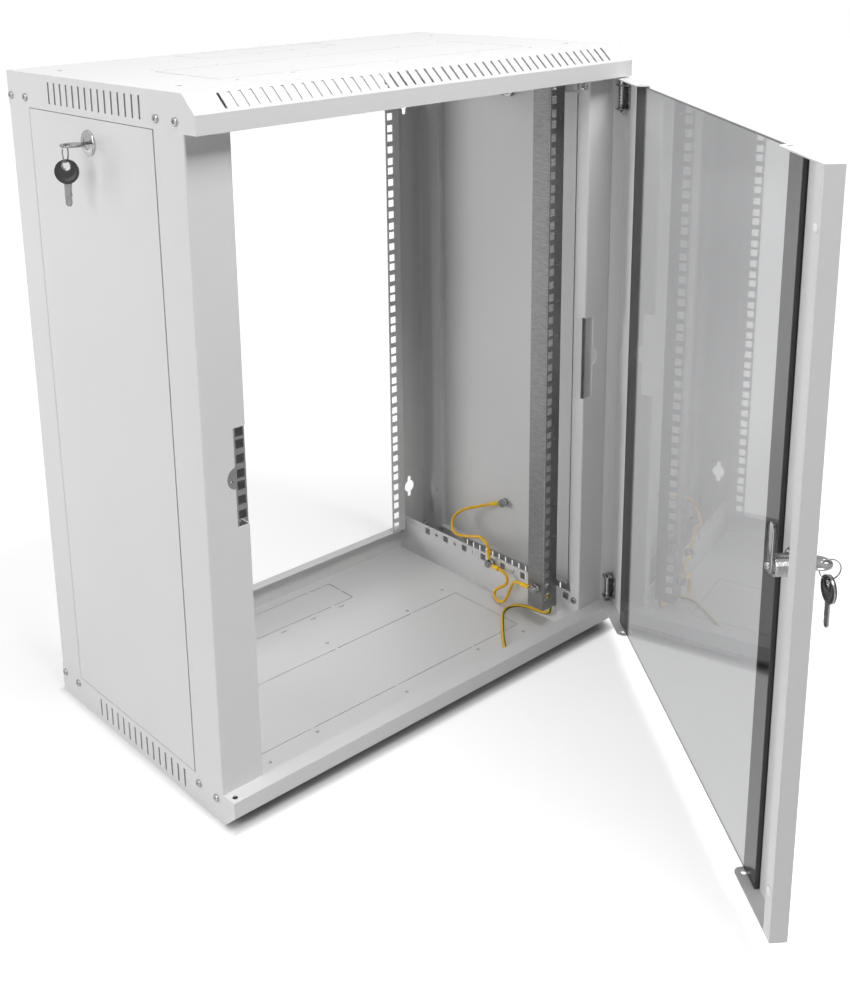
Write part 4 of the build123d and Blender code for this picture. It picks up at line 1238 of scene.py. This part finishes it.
@dataclass(frozen=True)
class Fasteners:
    """Screws, rail bolts with their nuts, and earth studs with theirs.

    Args:
        screw: Screw of the corners and side bars.
        nut: Nut of the rail bolts and earth studs.
        bolt_y: Place of the rail bolts in Y.
        bolt_rise: Their distance from the foot and the top of the case.
    """

    screw: PanHeadScrew = PanHeadScrew()
    nut: HexNut = HexNut()
    bolt_y: float = -110.5 * MM
    bolt_rise: float = 48.125 * MM

    def screws(
        self, x: float, rows: tuple[Sequence[float], Sequence[float]], slant: Point, facing: int
    ) -> Shape:
        """Screws on both sides of the case.

        Args:
            x: Distance of their seats from the middle.
            rows: Their places in Y and in Z.
            slant: Direction of one arm of the cross.
            facing: One if the heads face outwards, minus one if inwards.

        Returns:
            All of them as one shape.
        """
        spots = [(side, y, z) for side in (-1, 1) for z in rows[1] for y in rows[0]]
        places = [Place((s * x, y, z), slant, (s * facing, 0, 0)) for s, y, z in spots]
        cross = self.screw.shape()
        return joined([cross.moved(place) for place in places])

    def rail_bolts(self) -> Shape:
        """Bolts through the rails and side bars, one seated on the lead's terminal.

        Returns:
            The bolts and their nuts.
        """
        bolt = PanHeadScrew(length=8.5 * MM).shape()
        nut = self.nut.shape()
        shapes = []
        for side in (-1, 1):
            for z in (self.bolt_rise, HEIGHT - self.bolt_rise):
                lug = 1.0 * MM if side > 0 and z < HEIGHT / 2 else 0.0
                head_at = (side * (249.7 * MM - lug), self.bolt_y, z)
                nut_at = (side * 252.7 * MM, self.bolt_y, z)
                shapes.append(bolt.moved(Place(head_at, (0, 0.5, 0.86), (-side, 0, 0))))
                shapes.append(nut.moved(Place(nut_at, (0, 0.2, 0.98), (side, 0, 0))))
        return joined(shapes)

    def earth_stud(self, seat: Point, lugs: int) -> Shape:
        """Threaded stud along -X with one nut under its terminals and one over them.

        Args:
            seat: Where the stud leaves the sheet.
            lugs: Number of terminals between the nuts.

        Returns:
            The stud with its nuts.
        """
        radius, pitch, low = 2.9 * MM, 1.0 * MM, -3.0 * MM
        high = 2 * self.nut.height + lugs * MM + 1.2 * MM
        z = np.linspace(low, high, int((high - low) / pitch * 7))[:, None]
        from_end = np.minimum(z - low, high - z)
        wall = np.minimum(thread(radius, 0.44 * pitch, pitch, z, 36), radius * 0.86 + from_end)
        upper = self.nut.shape().laid((0.0, 0.0, self.nut.height + lugs * MM))
        stud = joined([rings(wall, z, 36, capped=True), self.nut.shape(), upper])
        return stud.moved(Place(seat, (0, 0.3, 0.95), (-1, 0, 0)))

    def build(self, shop: Workshop) -> None:
        """Makes every fastener of the case and of the right side panel.

        Args:
            shop: The scene's workshop.
        """
        corner = self.screws(SIDE, (CORNER_SCREW_Y, CORNER_SCREW_Z), (0, 0.8, 0.6), 1)
        bars = self.screws(BAR_SEAT_X, (BAR_SCREW_Y, BAR_SCREW_Z), (0, 0.6, 0.8), -1)
        bar_stud = self.earth_stud((0.2512, -0.008575, 0.046), 2)
        rail_stud = self.earth_stud((0.225, -0.113, 0.058125), 1)
        panel_stud = self.earth_stud((0.2988, 0.01225, 0.113), 1)
        for shape, word, body, node in (
            (corner, "cross_head_corner_screws", "cabinet", "corner_screws"),
            (bars, "cross_head_bar_screws", "cabinet", "bar_screws"),
            (self.rail_bolts(), "cross_head_rail_bolts", "cabinet", "rail_bolts"),
            (bar_stud + rail_stud, "threaded_case_studs", "cabinet", "case_earth_studs"),
            (panel_stud, "threaded_panel_stud", "right_panel", "panel_earth_stud"),
        ):
            shop.make(shape, word, FASTENER, body, node, 30.0)


@dataclass(frozen=True)
class Key:
    """Flat key in local XY: round bow at the origin, hole above it and toothed blade below.

    Args:
        thickness: Thickness of the sheet.
        bow: Radius of the bow.
        hole: Radius of the ring's hole.
        rise: Height of the hole's middle.
        blade_width: Width of the blade.
        blade_length: Length of the blade below the bow.
    """

    thickness: float = 2.0 * MM
    bow: float = 12.2 * MM
    hole: float = 3.6 * MM
    rise: float = 6.2 * MM
    blade_width: float = 7.4 * MM
    blade_length: float = 22.0 * MM

    def shape(self) -> Shape:
        """Bow, a disc with an off-centre hole and softened edges, and blade together."""
        half = self.thickness / 2
        rows = [(0.0, -half * 0.8), (0.04, -half), (0.96, -half), (1.0, -half * 0.7)]
        rows += [(1.0, half * 0.7), (0.96, half), (0.04, half), (0.0, half * 0.8)]
        bow = holed_plate(circle(self.bow), circle(self.hole, (0.0, self.rise)), rows)
        return bow + self.blade()

    def blade(self) -> Shape:
        """Blade: a soft rectangle along its length.

        One edge has cuts whose depth is a row of triangle waves, and each face has two milled
        grooves, bell-shaped dips in thickness across the width.

        Returns:
            The blade.
        """
        rows, columns = 90, 20
        along = np.linspace(0, 1, rows)
        y = -self.bow * 0.93 - along * (self.blade_length + self.bow * 0.07)
        tip = np.clip((1 - along) / 0.1, 0, 1)
        half = self.blade_width / 2 * (0.45 + 0.55 * tip)
        cuts = np.abs(((along * 6.5 + 0.3 * np.sin(along * 17)) % 1.0) - 0.5) * 2
        bite = (1.15 + 0.55 * np.sin(along * 11)) * MM * cuts * (along > 0.2) * tip
        left, right = -half, half - bite
        across = np.linspace(-1, 1, columns)
        x = ((left + right) / 2)[:, None] + ((right - left) / 2)[:, None] * across
        edge = np.clip((1 - np.abs(across)) / 0.12, 0, 1) ** 0.5
        grooves = 0.35 * np.exp(-(((x / MM + 1.2) / 0.55) ** 2))
        grooves = grooves + 0.22 * np.exp(-(((x / MM - 0.9) / 0.4) ** 2))
        thick = self.thickness / 2 * (0.55 + 0.45 * edge) - grooves * MM * edge
        level = np.repeat(y[:, None], columns, axis=1)
        front = np.stack([x, level, thick], axis=-1)
        back = (front * (1.0, 1.0, -1.0))[:, ::-1]
        loop = np.concatenate([front, back], axis=1).reshape(-1, 3)
        return Shape(loop, tube_faces(rows, 2 * columns, capped=True))

    def cover(self) -> Shape:
        """Moulded cover of the bow: two domed halves, each with a raised rim and a field inside.

        Returns:
            The cover.
        """
        base = self.thickness / 2
        top = base + 1.0 * MM
        field = top - 0.35 * MM
        half = [(0.0, base), (0.0, top - 0.3 * MM), (0.06, top), (0.2, top), (0.27, field)]
        half += [(0.66, field), (0.74, top), (0.92, top), (0.98, field), (1.0, base)]
        outer, inner = circle(self.bow), circle(4.8 * MM, (0.0, self.rise))
        back = [(share, -height) for share, height in half]
        return holed_plate(outer, inner, half[::-1]) + holed_plate(outer, inner, back)


@dataclass(frozen=True)
class KeySet:
    """Key in a lock, the ring through it and the covered spare key that hangs from the ring.

    Args:
        word: First word of the pieces' names.
        lock: Frame on the lock's seat, Z outwards and Y up.
        bodies: Bodies of the key and of the ring.
        nodes: CAD nodes of the key, the ring, the spare key and its cover.
        turn: Turn of the ring about the key's hole, in degrees.
        bow_lift: Distance of the inserted key's bow from the lock's seat.
        ring_drop: Drop of the ring's middle below the hole.
        ring_offset: Its distance outwards from the hole.
        ring_radius: Radius of the ring.
        wire: Thickness of its wire.
    """

    word: str
    lock: Place
    bodies: tuple[str, str]
    nodes: tuple[str, str, str, str]
    turn: float = 0.0
    bow_lift: float = 18.0 * MM
    ring_drop: float = 6.45 * MM
    ring_offset: float = 5.1 * MM
    ring_radius: float = 9.0 * MM
    wire: float = 0.8 * MM

    def ring(self) -> Shape:
        """Key ring in local XY: wire wound twice, one turn beside the other, as a short helix.

        Returns:
            The ring.
        """
        turns = np.linspace(0, 4 * math.pi, 140)
        step = np.clip((turns - 1.7 * math.pi) / (0.6 * math.pi), 0, 1)
        flat = self.ring_radius * np.column_stack([np.cos(turns), np.sin(turns)])
        return tube(np.column_stack([flat, (-0.5 + step) * self.wire]), self.wire * 0.5, 10)

    def hung(self, shape: Shape) -> Shape:
        """Ring, spare key or cover, turned about the key's hole and carried onto the lock.

        Args:
            shape: The shape in the lock's frame, before the turn.

        Returns:
            The shape in the cabinet's frame.
        """
        cosine, sine = math.cos(math.radians(self.turn)), math.sin(math.radians(self.turn))
        pivot = self.bow_lift + Key().rise
        x, y, z = (shape.points - (0.0, 0.0, pivot)).T
        points = np.column_stack([x * cosine + z * sine, y, -x * sine + z * cosine + pivot])
        return Shape(self.lock.carry(points), shape.faces)

    def build(self, shop: Workshop) -> None:
        """Makes the four pieces.

        Args:
            shop: The scene's workshop.
        """
        key = Key()
        centre = self.bow_lift + key.rise + self.ring_offset
        drop = self.ring_drop + self.ring_radius - self.wire - 0.1 * MM + key.hole + key.rise
        below = (0.0, -drop, centre)
        inserted = key.shape().laid((0.0, 0.0, self.bow_lift), (1.0, -1.0, 1.0), (0, 2, 1))
        ring = self.ring().laid((0.0, -self.ring_drop, centre), order=(2, 1, 0))
        fixed, loose = self.bodies
        pieces = (
            (inserted.moved(self.lock), "toothed_key", KEY, fixed),
            (self.hung(ring), "split_ring", KEY, loose),
            (self.hung(key.shape().laid(below)), "hanging_key", KEY, loose),
            (self.hung(key.cover().laid(below)), "moulded_cover", COVER, loose),
        )
        for (shape, word, finish, body), node in zip(pieces, self.nodes):
            shop.make(shape, f"{self.word}_{word}", finish, body, node)


@dataclass(frozen=True)
class CamLock:
    """Cam lock's fixed body, its nut, its cam and the screw that holds the cam.

    Args:
        word: Name of the lock in the CAD nodes.
        lock: Frame on the lock's seat, Z outwards and Y up.
        bodies: Bodies of the housing and of the turning parts.
        barrel: Length of the threaded barrel.
        cranked: Whether the cam is cranked and level, or flat and upright.
        flange: Radius of the flange.
        flange_height: Its height.
        radius: Radius of the barrel.
        bore: Radius of the bore.
        nut: The nut on the barrel.
        sheet: Thickness of the sheet between flange and nut.
        tail: Gap between barrel and cam.
        cam_thickness: Thickness of the cam.
        cam_width: Width of the cam.
        heel: Reach of the cam behind its screw.
    """

    word: str
    lock: Place
    bodies: tuple[str, str]
    barrel: float
    cranked: bool
    flange: float = 13.0 * MM
    flange_height: float = 2.2 * MM
    radius: float = 9.5 * MM
    bore: float = 6.1 * MM
    nut: HexNut = HexNut(24.0 * MM, 4.5 * MM, 9.5 * MM)
    sheet: float = 1.2 * MM
    tail: float = 0.7 * MM
    cam_thickness: float = 2.0 * MM
    cam_width: float = 10.0 * MM
    heel: float = 7.0 * MM

    def housing(self) -> Shape:
        """Turned rim with a rolled edge and a shallow dish, over a threaded, open barrel.

        Returns:
            The housing.
        """
        rim, top = self.flange, self.flange_height
        turned = [(self.bore, 0.0), (self.bore, top - 0.3 * MM), (self.bore + 0.3 * MM, top)]
        turned += [(rim * 0.66, top), (rim * 0.72, top - 0.12 * MM), (rim * 0.8, top)]
        turned += [(rim - 1.0 * MM, top - 0.25 * MM), (rim - 0.3 * MM, top - 0.8 * MM)]
        turned += [(rim, top - 1.3 * MM), (rim, 0.0), (self.bore, 0.0)]
        segments = 60
        z = np.linspace(0.0, -self.barrel, 110)[:, None]
        wall = thread(self.radius, 0.42 * MM, 1.0 * MM, z, segments)
        wall = np.minimum(wall, self.radius - 0.9 * MM + (z + self.barrel))
        wall = np.vstack([wall, np.full((2, segments), self.bore)])
        height = np.vstack([z, [[-self.barrel], [0.0]]])
        return lathe(turned, 64) + rings(wall, height, segments, closed=True)

    def flat_cam(self, low: float, high: float) -> Shape:
        """Flat upright cam with a round tip and a blunter heel.

        Args:
            low: Height of its lower face.
            high: Height of its upper face.

        Returns:
            The cam.
        """
        reach, width, edge = 38.0 * MM, self.cam_width / 2, 0.35 * MM
        angles = round_angles(72)
        upper = np.sin(angles) > 0
        y = np.where(upper, reach - width, -self.heel + width * 0.6)
        y = y + np.where(upper, width, width * 0.6) * np.sin(angles)
        outline = np.column_stack([width * np.cos(angles), y])
        rows = [(0.0, low), (0.97, low), (1.0, low + edge)]
        rows += [(1.0, high - edge), (0.97, high), (0.0, high)]
        return holed_plate(outline, circle(1.5 * MM, count=72), rows)

    def cranked_cam(self, middle: float) -> Shape:
        """Level strip, bent outwards beyond the barrel.

        Args:
            middle: Height of the middle of its inner end.

        Returns:
            The cam.
        """
        crank, reach = 5.4 * MM, 34.0 * MM
        bend = self.radius + self.cam_thickness
        corners = [(-self.heel, middle), (bend, middle)]
        corners += [(bend + crank, middle + crank), (reach, middle + crank)]
        path = rounded_path(corners, 2.5 * MM)
        half = np.full(len(path), self.cam_width / 2)
        level = strip(path, np.column_stack([-half, half]), self.cam_thickness)
        return level.laid(signs=(1.0, -1.0, 1.0), order=(1, 0, 2))

    def build(self, shop: Workshop) -> None:
        """Makes the housing, the nut, the cam and the pan head screw that holds it.

        Args:
            shop: The scene's workshop.
        """
        seat = -self.barrel - self.tail
        base = seat - self.cam_thickness
        cam = self.cranked_cam((seat + base) / 2) if self.cranked else self.flat_cam(base, seat)
        screw = PanHeadScrew(3.5 * MM, 2.9 * MM, 1.8 * MM, 2.0 * MM, 2.0 * MM).shape()
        screw = screw.laid((0.0, 0.0, base), (1.0, -1.0, -1.0))
        nut = self.nut.shape().laid((0.0, 0.0, -self.sheet - self.nut.height))
        fixed, turning = self.bodies
        for shape, node, word, body in (
            (self.housing(), "lock_housing", "threaded_housing", fixed),
            (nut, "lock_nut", "hexagon_lock_nut", fixed),
            (cam, "lock_cam", "pressed_cam", turning),
            (screw, "cam_screw", "pan_cam_screw", turning),
        ):
            made = shape.moved(self.lock)
            shop.make(made, f"{self.word}_{word}", LOCK, body, f"{self.word}_{node}")


@dataclass(frozen=True)
class Locks:
    """The three cam locks and the two sets of keys.

    Args:
        door: Seat of the door's lock, Z outwards.
        left: Seat of the left panel's lock.
        right: Seat of the right panel's lock.
        door_barrel: Length of the door lock's barrel.
        panel_barrel: Length of the panel locks' barrels.
    """

    door: Place = Place((-0.0331137, -0.6170606, 0.3725), (0.6018, 0.7986, 0), (0.7986, -0.6018, 0))
    left: Place = Place((-0.3, 0.01225, 0.684), (0, -1, 0), (-1, 0, 0))
    right: Place = Place((0.3, 0.01225, 0.684), (0, 1, 0), (1, 0, 0))
    door_barrel: float = 19.5 * MM
    panel_barrel: float = 16.0 * MM

    def build(self, shop: Workshop) -> None:
        """Makes the locks and their keys.

        Args:
            shop: The scene's workshop.
        """
        CamLock("door", self.door, ("door", "door_lock"), self.door_barrel, False).build(shop)
        for word, seat in (("left", self.left), ("right", self.right)):
            bodies = (f"{word}_panel", f"{word}_lock")
            CamLock(word, seat, bodies, self.panel_barrel, True).build(shop)
        for word, seat, turn in (("door", self.door, 0.0), ("left", self.left, 45.0)):
            bodies = (f"{word}_lock", f"{word}_keys")
            parts = ("key", "key_ring", "spare_key", "spare_cover")
            nodes = tuple(f"{word}_{part}" for part in parts)
            KeySet(word, seat, bodies, nodes, turn).build(shop)


@dataclass(frozen=True)
class HingePin:
    """Sprung hinge pin of one door end: the pin with its lever, its spring and its bracket.

    Args:
        word: Which end it is, lower or upper.
        flipped: Whether it is the upper one, the lower one's mirror image.
        foot: Height of the pin's foot.
        length: Length of the pin.
        radius: Radius of the pin.
        lever: Reach of its lever.
        lever_radius: Radius of the lever.
        collar: Foot, height and radius of its collar.
        spring_span: Foot and top of the spring.
        travel: How far the pin draws back; not used.
        sheet: Thickness of the bracket.
        bracket_span: Foot and top of the bracket.
    """

    word: str
    flipped: bool
    foot: float = 29 * MM
    length: float = 50 * MM
    radius: float = 2.9 * MM
    lever: float = 11.0 * MM
    lever_radius: float = 2.0 * MM
    collar: Point = (47.75 * MM, 2.0 * MM, 3.7 * MM)
    spring_span: Pair = (49.75 * MM, 73.0 * MM)
    travel: float = 8 * MM
    sheet: float = 1.5 * MM
    bracket_span: Pair = (45.5 * MM, 74.5 * MM)

    def placed(self, shape: Shape) -> Shape:
        """Shape about the pin's axis, carried to the door as it stands open.

        Args:
            shape: The shape, with Z up the axis.

        Returns:
            The shape in the cabinet's frame, mirrored if the pin is the upper one.
        """
        points = opened(shape.points + HINGE_AXIS)
        if not self.flipped:
            return Shape(points, shape.faces)
        faces = [tuple(reversed(face)) for face in shape.faces]
        return Shape(points * (1.0, 1.0, -1.0) + (0.0, 0.0, HEIGHT), faces)

    def pin(self) -> Shape:
        """Rod bent over at its top into a lever, with a chamfered foot, and its collar.

        Returns:
            The pin.
        """
        top = self.foot + self.length - self.lever_radius
        corners = [(0.0, self.foot + 1.2 * MM), (0.0, top), (-self.lever, top)]
        path = rounded_path(corners, 3.0 * MM, 10)
        line = np.column_stack([path[:, 0], np.zeros(len(path)), path[:, 1]])
        rod = tube(line, self.lever_radius, 24)
        body = [(0.0, self.foot), (self.radius - 1.0 * MM, self.foot)]
        body += [(self.radius, self.foot + 1.6 * MM), (self.radius, top - 5.0 * MM)]
        body += [(self.lever_radius, top - 3.6 * MM)]
        base, height, reach = self.collar
        edge = 0.3 * MM
        ring = [(self.radius, base), (reach - edge, base), (reach, base + edge)]
        ring += [(reach, base + height - edge), (reach - edge, base + height)]
        ring += [(self.radius, base + height)]
        return rod + lathe(body, 32) + lathe(ring, 32)

    def spring(self) -> Shape:
        """Wire along a helix whose pitch closes up at both ends.

        Returns:
            The spring.
        """
        low, high = self.spring_span
        wire, turns = 0.38 * MM, 8.5
        share = np.linspace(0, 1, int(turns * 26))
        soft = share - 0.035 * np.sin(2 * math.pi * share) * 2
        z = low + wire + (high - low - 2 * wire) * soft
        angles = share * turns * 2 * math.pi
        reach = 3.8 * MM - wire
        path = np.column_stack([reach * np.cos(angles), reach * np.sin(angles), z])
        return tube(path, wire, 10)

    def bracket(self) -> Shape:
        """Strip bent into a web on the stile and two narrower ears, with two domed rivets.

        Returns:
            The bracket.
        """
        low, high = self.bracket_span
        half = self.sheet / 2
        web = -8.0 * MM + 1.2 * MM + half
        ear = web - half + 13.0 * MM
        corners = [(ear, low + half), (web, low + half), (web, high - half), (ear, high - half)]
        path = rounded_path(corners, 1.6 * MM)
        deep = np.clip((path[:, 0] - web) / (1.6 * MM), 0, 1)
        right = (5.5 - 7.0 / 3) * MM
        left = right - 19 * MM + deep * 8 * MM
        bent = strip(path, np.column_stack([left, np.full(len(path), right)]), self.sheet)
        dome = [(2.0 * MM, 0.0), (1.9 * MM, 0.5 * MM), (1.2 * MM, 1.0 * MM), (0.0, 1.2 * MM)]
        rivet = lathe(dome, 24)
        for z in (low + 8 * MM, high - 8 * MM):
            seat = (right - 14.5 * MM, web + half - 0.1 * MM, z)
            bent += rivet.laid(seat, (-1.0, 1.0, 1.0), (0, 2, 1))
        return bent

    def build(self, shop: Workshop) -> None:
        """Makes the pin, the bracket and the spring.

        Args:
            shop: The scene's workshop.
        """
        for shape, word, body, node in (
            (self.pin(), "bent_pin", f"pin_{self.word}", f"hinge_pin_{self.word}"),
            (self.bracket(), "ear_bracket", "door", "hinge_brackets"),
            (self.spring(), "coil_spring", "door", f"hinge_spring_{self.word}"),
        ):
            piece = shop.make(self.placed(shape), f"{self.word}_{word}", FASTENER, body, node)
        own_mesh(piece)


@dataclass(frozen=True)
class DoorPane:
    """Glass of the door with its ground edges, and the bumpers on the lock stile.

    Args:
        middle: Middle of the pane in X and Z, with the door closed.
        half: Half its width and height.
        face: Front face in Y, with the door closed.
        thickness: Thickness of the glass.
        bumper_z: Heights of the bumpers.
    """

    middle: Pair = (0.0, 372.5 * MM)
    half: Pair = (235.5 * MM, 333.0 * MM)
    face: float = -176.8 * MM
    thickness: float = 4.0 * MM
    bumper_z: Pair = (85.5 * MM, 659.5 * MM)

    def pane(self, shop: Workshop) -> None:
        """Makes a flat pane whose four edges are arrised; the edge bands are near black, painted
        shade for the dark look of the pane's edges and the shadow beside them.

        Args:
            shop: The scene's workshop.
        """
        arris = 0.5 * MM
        corner = np.array([(-1, -1), (1, -1), (1, 1), (-1, 1)], float)
        sections = [(arris, 0.0), (0.0, arris)]
        sections += [(0.0, self.thickness - arris), (arris, self.thickness)]
        rows = []
        for inset, depth in sections:
            x, z = (np.array(self.middle) + corner * (np.array(self.half) - inset)).T
            rows.append(opened(np.column_stack([x, np.full(4, self.face + depth), z])))
        shape = Shape(np.vstack(rows), tube_faces(4, 4, capped=True))
        piece = shop.make(shape, "arrised_pane", GLASS, "door", "door_glass", 10.0)
        piece.data.materials.append(shop.materials[GROUND_EDGE_SHADE.name])
        for polygon in piece.data.polygons:
            polygon.material_index = 1 if polygon.index < 12 else 0

    def bumpers(self, shop: Workshop) -> None:
        """Makes soft domes: half an ellipse turned about its axis, on a short foot.

        Args:
            shop: The scene's workshop.
        """
        rise = np.linspace(0, math.pi / 2, 12)
        radius = 4.5 * MM
        profile = [(radius, 0.0)]
        profile += [(radius * math.cos(a), (0.3 + 1.9 * math.sin(a)) * MM) for a in rise]
        dome = lathe(profile, 32)
        seats = [Place((-291 * MM, -163 * MM, z), (1, 0, 0), (0, 1, 0)) for z in self.bumper_z]
        domes = joined([Shape(opened(seat.carry(dome.points)), dome.faces) for seat in seats])
        shop.make(domes, "soft_domes", BUMPER, "door", "door_bumpers")

    def build(self, shop: Workshop) -> None:
        """Makes the pane and the bumpers."""
        self.pane(shop)
        self.bumpers(shop)


@dataclass(frozen=True)
class Camera:
    """Camera at the photograph's viewpoint.

    Args:
        position: Place of the lens, in metres.
        azimuth: Direction of view from +Y towards +X, in degrees.
        elevation: Angle of the view below the horizon, in degrees.
        roll: Turn about the view axis, in degrees.
        focal: Focal length in image heights.
        centre: Image point of the optical axis, in pixels.
        sensor: Width of the sensor, in millimetres.
    """

    position: Point = (-0.917036, -1.122311, 0.874935)
    azimuth: float = 39.814
    elevation: float = 15.344
    roll: float = -1.536
    focal: float = 1297.297 / IMAGE_HEIGHT
    centre: Pair = (350.0, 290.0)
    sensor: float = 36.0

    def build(self) -> None:
        """Creates the camera and makes it the scene's."""
        angles = (self.azimuth, self.elevation, self.roll)
        azimuth, elevation, roll = (math.radians(angle) for angle in angles)
        level = Vector((math.cos(azimuth), -math.sin(azimuth), 0.0))
        ahead = Vector((math.sin(azimuth), math.cos(azimuth), 0.0)) * math.cos(elevation)
        forward = ahead - Vector((0.0, 0.0, math.sin(elevation)))
        right = level * math.cos(roll) + level.cross(forward) * math.sin(roll)
        up = right.cross(forward)
        data = bpy.data.cameras.new("camera")
        data.sensor_width = self.sensor
        data.lens = self.focal * self.sensor
        data.shift_x = (IMAGE_WIDTH / 2 - self.centre[0]) / IMAGE_HEIGHT
        data.shift_y = (self.centre[1] - IMAGE_HEIGHT / 2) / IMAGE_HEIGHT
        data.clip_start = 0.05
        camera = bpy.data.objects.new("camera", data)
        turned = Matrix((right, up, -forward)).transposed().to_4x4()
        camera.matrix_world = Matrix.Translation(self.position) @ turned
        bpy.context.scene.collection.objects.link(camera)
        bpy.context.scene.camera = camera


@dataclass(frozen=True)
class AreaLight:
    """Soft rectangular light.

    Args:
        name: Name of the light.
        position: Its place in metres.
        target: Point that it faces.
        size: Width and height in metres.
        power: Power in watts.
        mirrored: Whether glass and metal show it as a highlight.
    """

    name: str
    position: Point
    target: Point
    size: Pair
    power: float
    mirrored: bool = True

    def build(self) -> None:
        """Creates the light, which no camera sees, nor anything through the glass."""
        data = bpy.data.lights.new(self.name, "AREA")
        data.shape = "RECTANGLE"
        data.size, data.size_y = self.size
        data.energy = self.power
        light = bpy.data.objects.new(self.name, data)
        light.location = self.position
        aim = Vector(self.target) - Vector(self.position)
        light.rotation_mode = "QUATERNION"
        light.rotation_quaternion = aim.to_track_quat("-Z", "Y")
        light.visible_camera = False
        light.visible_transmission = False
        light.visible_glossy = self.mirrored
        bpy.context.scene.collection.objects.link(light)


@dataclass(frozen=True)
class Studio:
    """Plain pale floor, white background and soft lights all round.

    Args:
        ambient: Strength of the even light from all round.
        floor: Tone of the floor.
        half: Half the floor's width.
        reach: Where the floor's glow is full, in half sizes of the cabinet.
        lights: The soft boxes.
    """

    ambient: float = 0.11
    floor: float = 0.5
    half: float = 9.0
    reach: float = 12
    lights: tuple[AreaLight, ...] = (
        AreaLight("top_light", (-0.4, 0.4, 2.9), (0.0, -0.1, 0.4), (2.4, 2.4), 11.0),
        AreaLight("left_light", (-3.0, -0.5, 1.5), (0.0, -0.1, 0.4), (2.0, 2.0), 33.0),
        AreaLight("front_light", (0.05, -1.3, 2.5), (0.0, -0.15, 0.5), (1.2, 1.0), 58.0),
        AreaLight("back_light", (-2.5, 2.6, 0.85), (0.2, 0.0, 0.4), (1.6, 1.4), 60.0, False),
        AreaLight("right_light", (3.1, 0.9, 1.5), (0.1, 0.0, 0.4), (2.0, 2.0), 11.0, False),
    )

    def build(self) -> None:
        """Creates the lights, the background and the floor."""
        bpy.context.scene.view_settings.view_transform = "Standard"
        for light in self.lights:
            light.build()
        self.background()
        self.make_floor()

    def background(self) -> None:
        """Makes the world: white where it is seen, and an even light for everything else."""
        world = bpy.data.worlds.new("studio")
        bpy.context.scene.world = world
        graph = Graph(world)
        graph.tree.nodes.clear()
        white = grey(1.0)
        seen = graph.add("ShaderNodeBackground", Color=white, Strength=1.0)
        soft = graph.add("ShaderNodeBackground", Color=white, Strength=self.ambient)
        layers = (graph.seen(), soft.outputs["Background"], seen.outputs["Background"])
        mix = graph.add("ShaderNodeMixShader", *layers)
        graph.add("ShaderNodeOutputWorld", Surface=mix.outputs["Shader"])

    def glow(self, graph: Graph) -> Socket:
        """Strength of the floor's glow: none under the cabinet, some beside it and more far away.

        The distance is the larger of |X| and |Y|, each over the cabinet's half size.

        Args:
            graph: The floor's nodes.

        Returns:
            Socket with the strength.
        """
        apart = graph.add("ShaderNodeSeparateXYZ", Vector=graph.place).outputs
        sides = []
        for axis, half in (("X", SIDE), ("Y", BACK)):
            away = graph.math("ABSOLUTE", apart[axis], 0.0)
            sides.append(graph.math("DIVIDE", away, half * self.reach))
        stops = [(0.98 / self.reach, 0.0), (1.0 / self.reach, 0.58)]
        stops += [(0.3, 0.75), (0.6, 0.8), (1.0, 0.95)]
        share = graph.math("MAXIMUM", *sides)
        return graph.ramp(share, *((position, grey(tone)) for position, tone in stops))

    def make_floor(self) -> None:
        """Makes a wide floor under the object, brighter to the camera than the light it gives."""
        corners = [(-1, -1), (1, -1), (1, 1), (-1, 1)]
        mesh = bpy.data.meshes.new("floor")
        places = [(x * self.half, y * self.half, 0.0) for x, y in corners]
        mesh.from_pydata(places, [], [(0, 1, 2, 3)])
        floor = bpy.data.objects.new("floor", mesh)
        bpy.context.scene.collection.objects.link(floor)
        graph = Graph(bpy.data.materials.new("pale_floor"))
        graph.surface(
            Base_Color=grey(self.floor),
            Roughness=0.9,
            Specular_IOR_Level=0.0,
            Emission_Color=grey(1.0),
            Emission_Strength=graph.math("MULTIPLY", graph.seen(), self.glow(graph)),
        )
        mesh.materials.append(graph.owner)


def main() -> None:
    """Builds the whole scene."""
    logging.basicConfig(level=logging.INFO)
    shop = Workshop.open()
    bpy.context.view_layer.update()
    Camera().build()
    shop.paint_nodes()
    for group in (Wiring(), Fasteners(), Locks()):
        group.build(shop)
    for end, flipped in (("lower", False), ("upper", True)):
        HingePin(end, flipped).build(shop)
    DoorPane().build(shop)
    Studio().build()


if __name__ == "__main__":
    main()
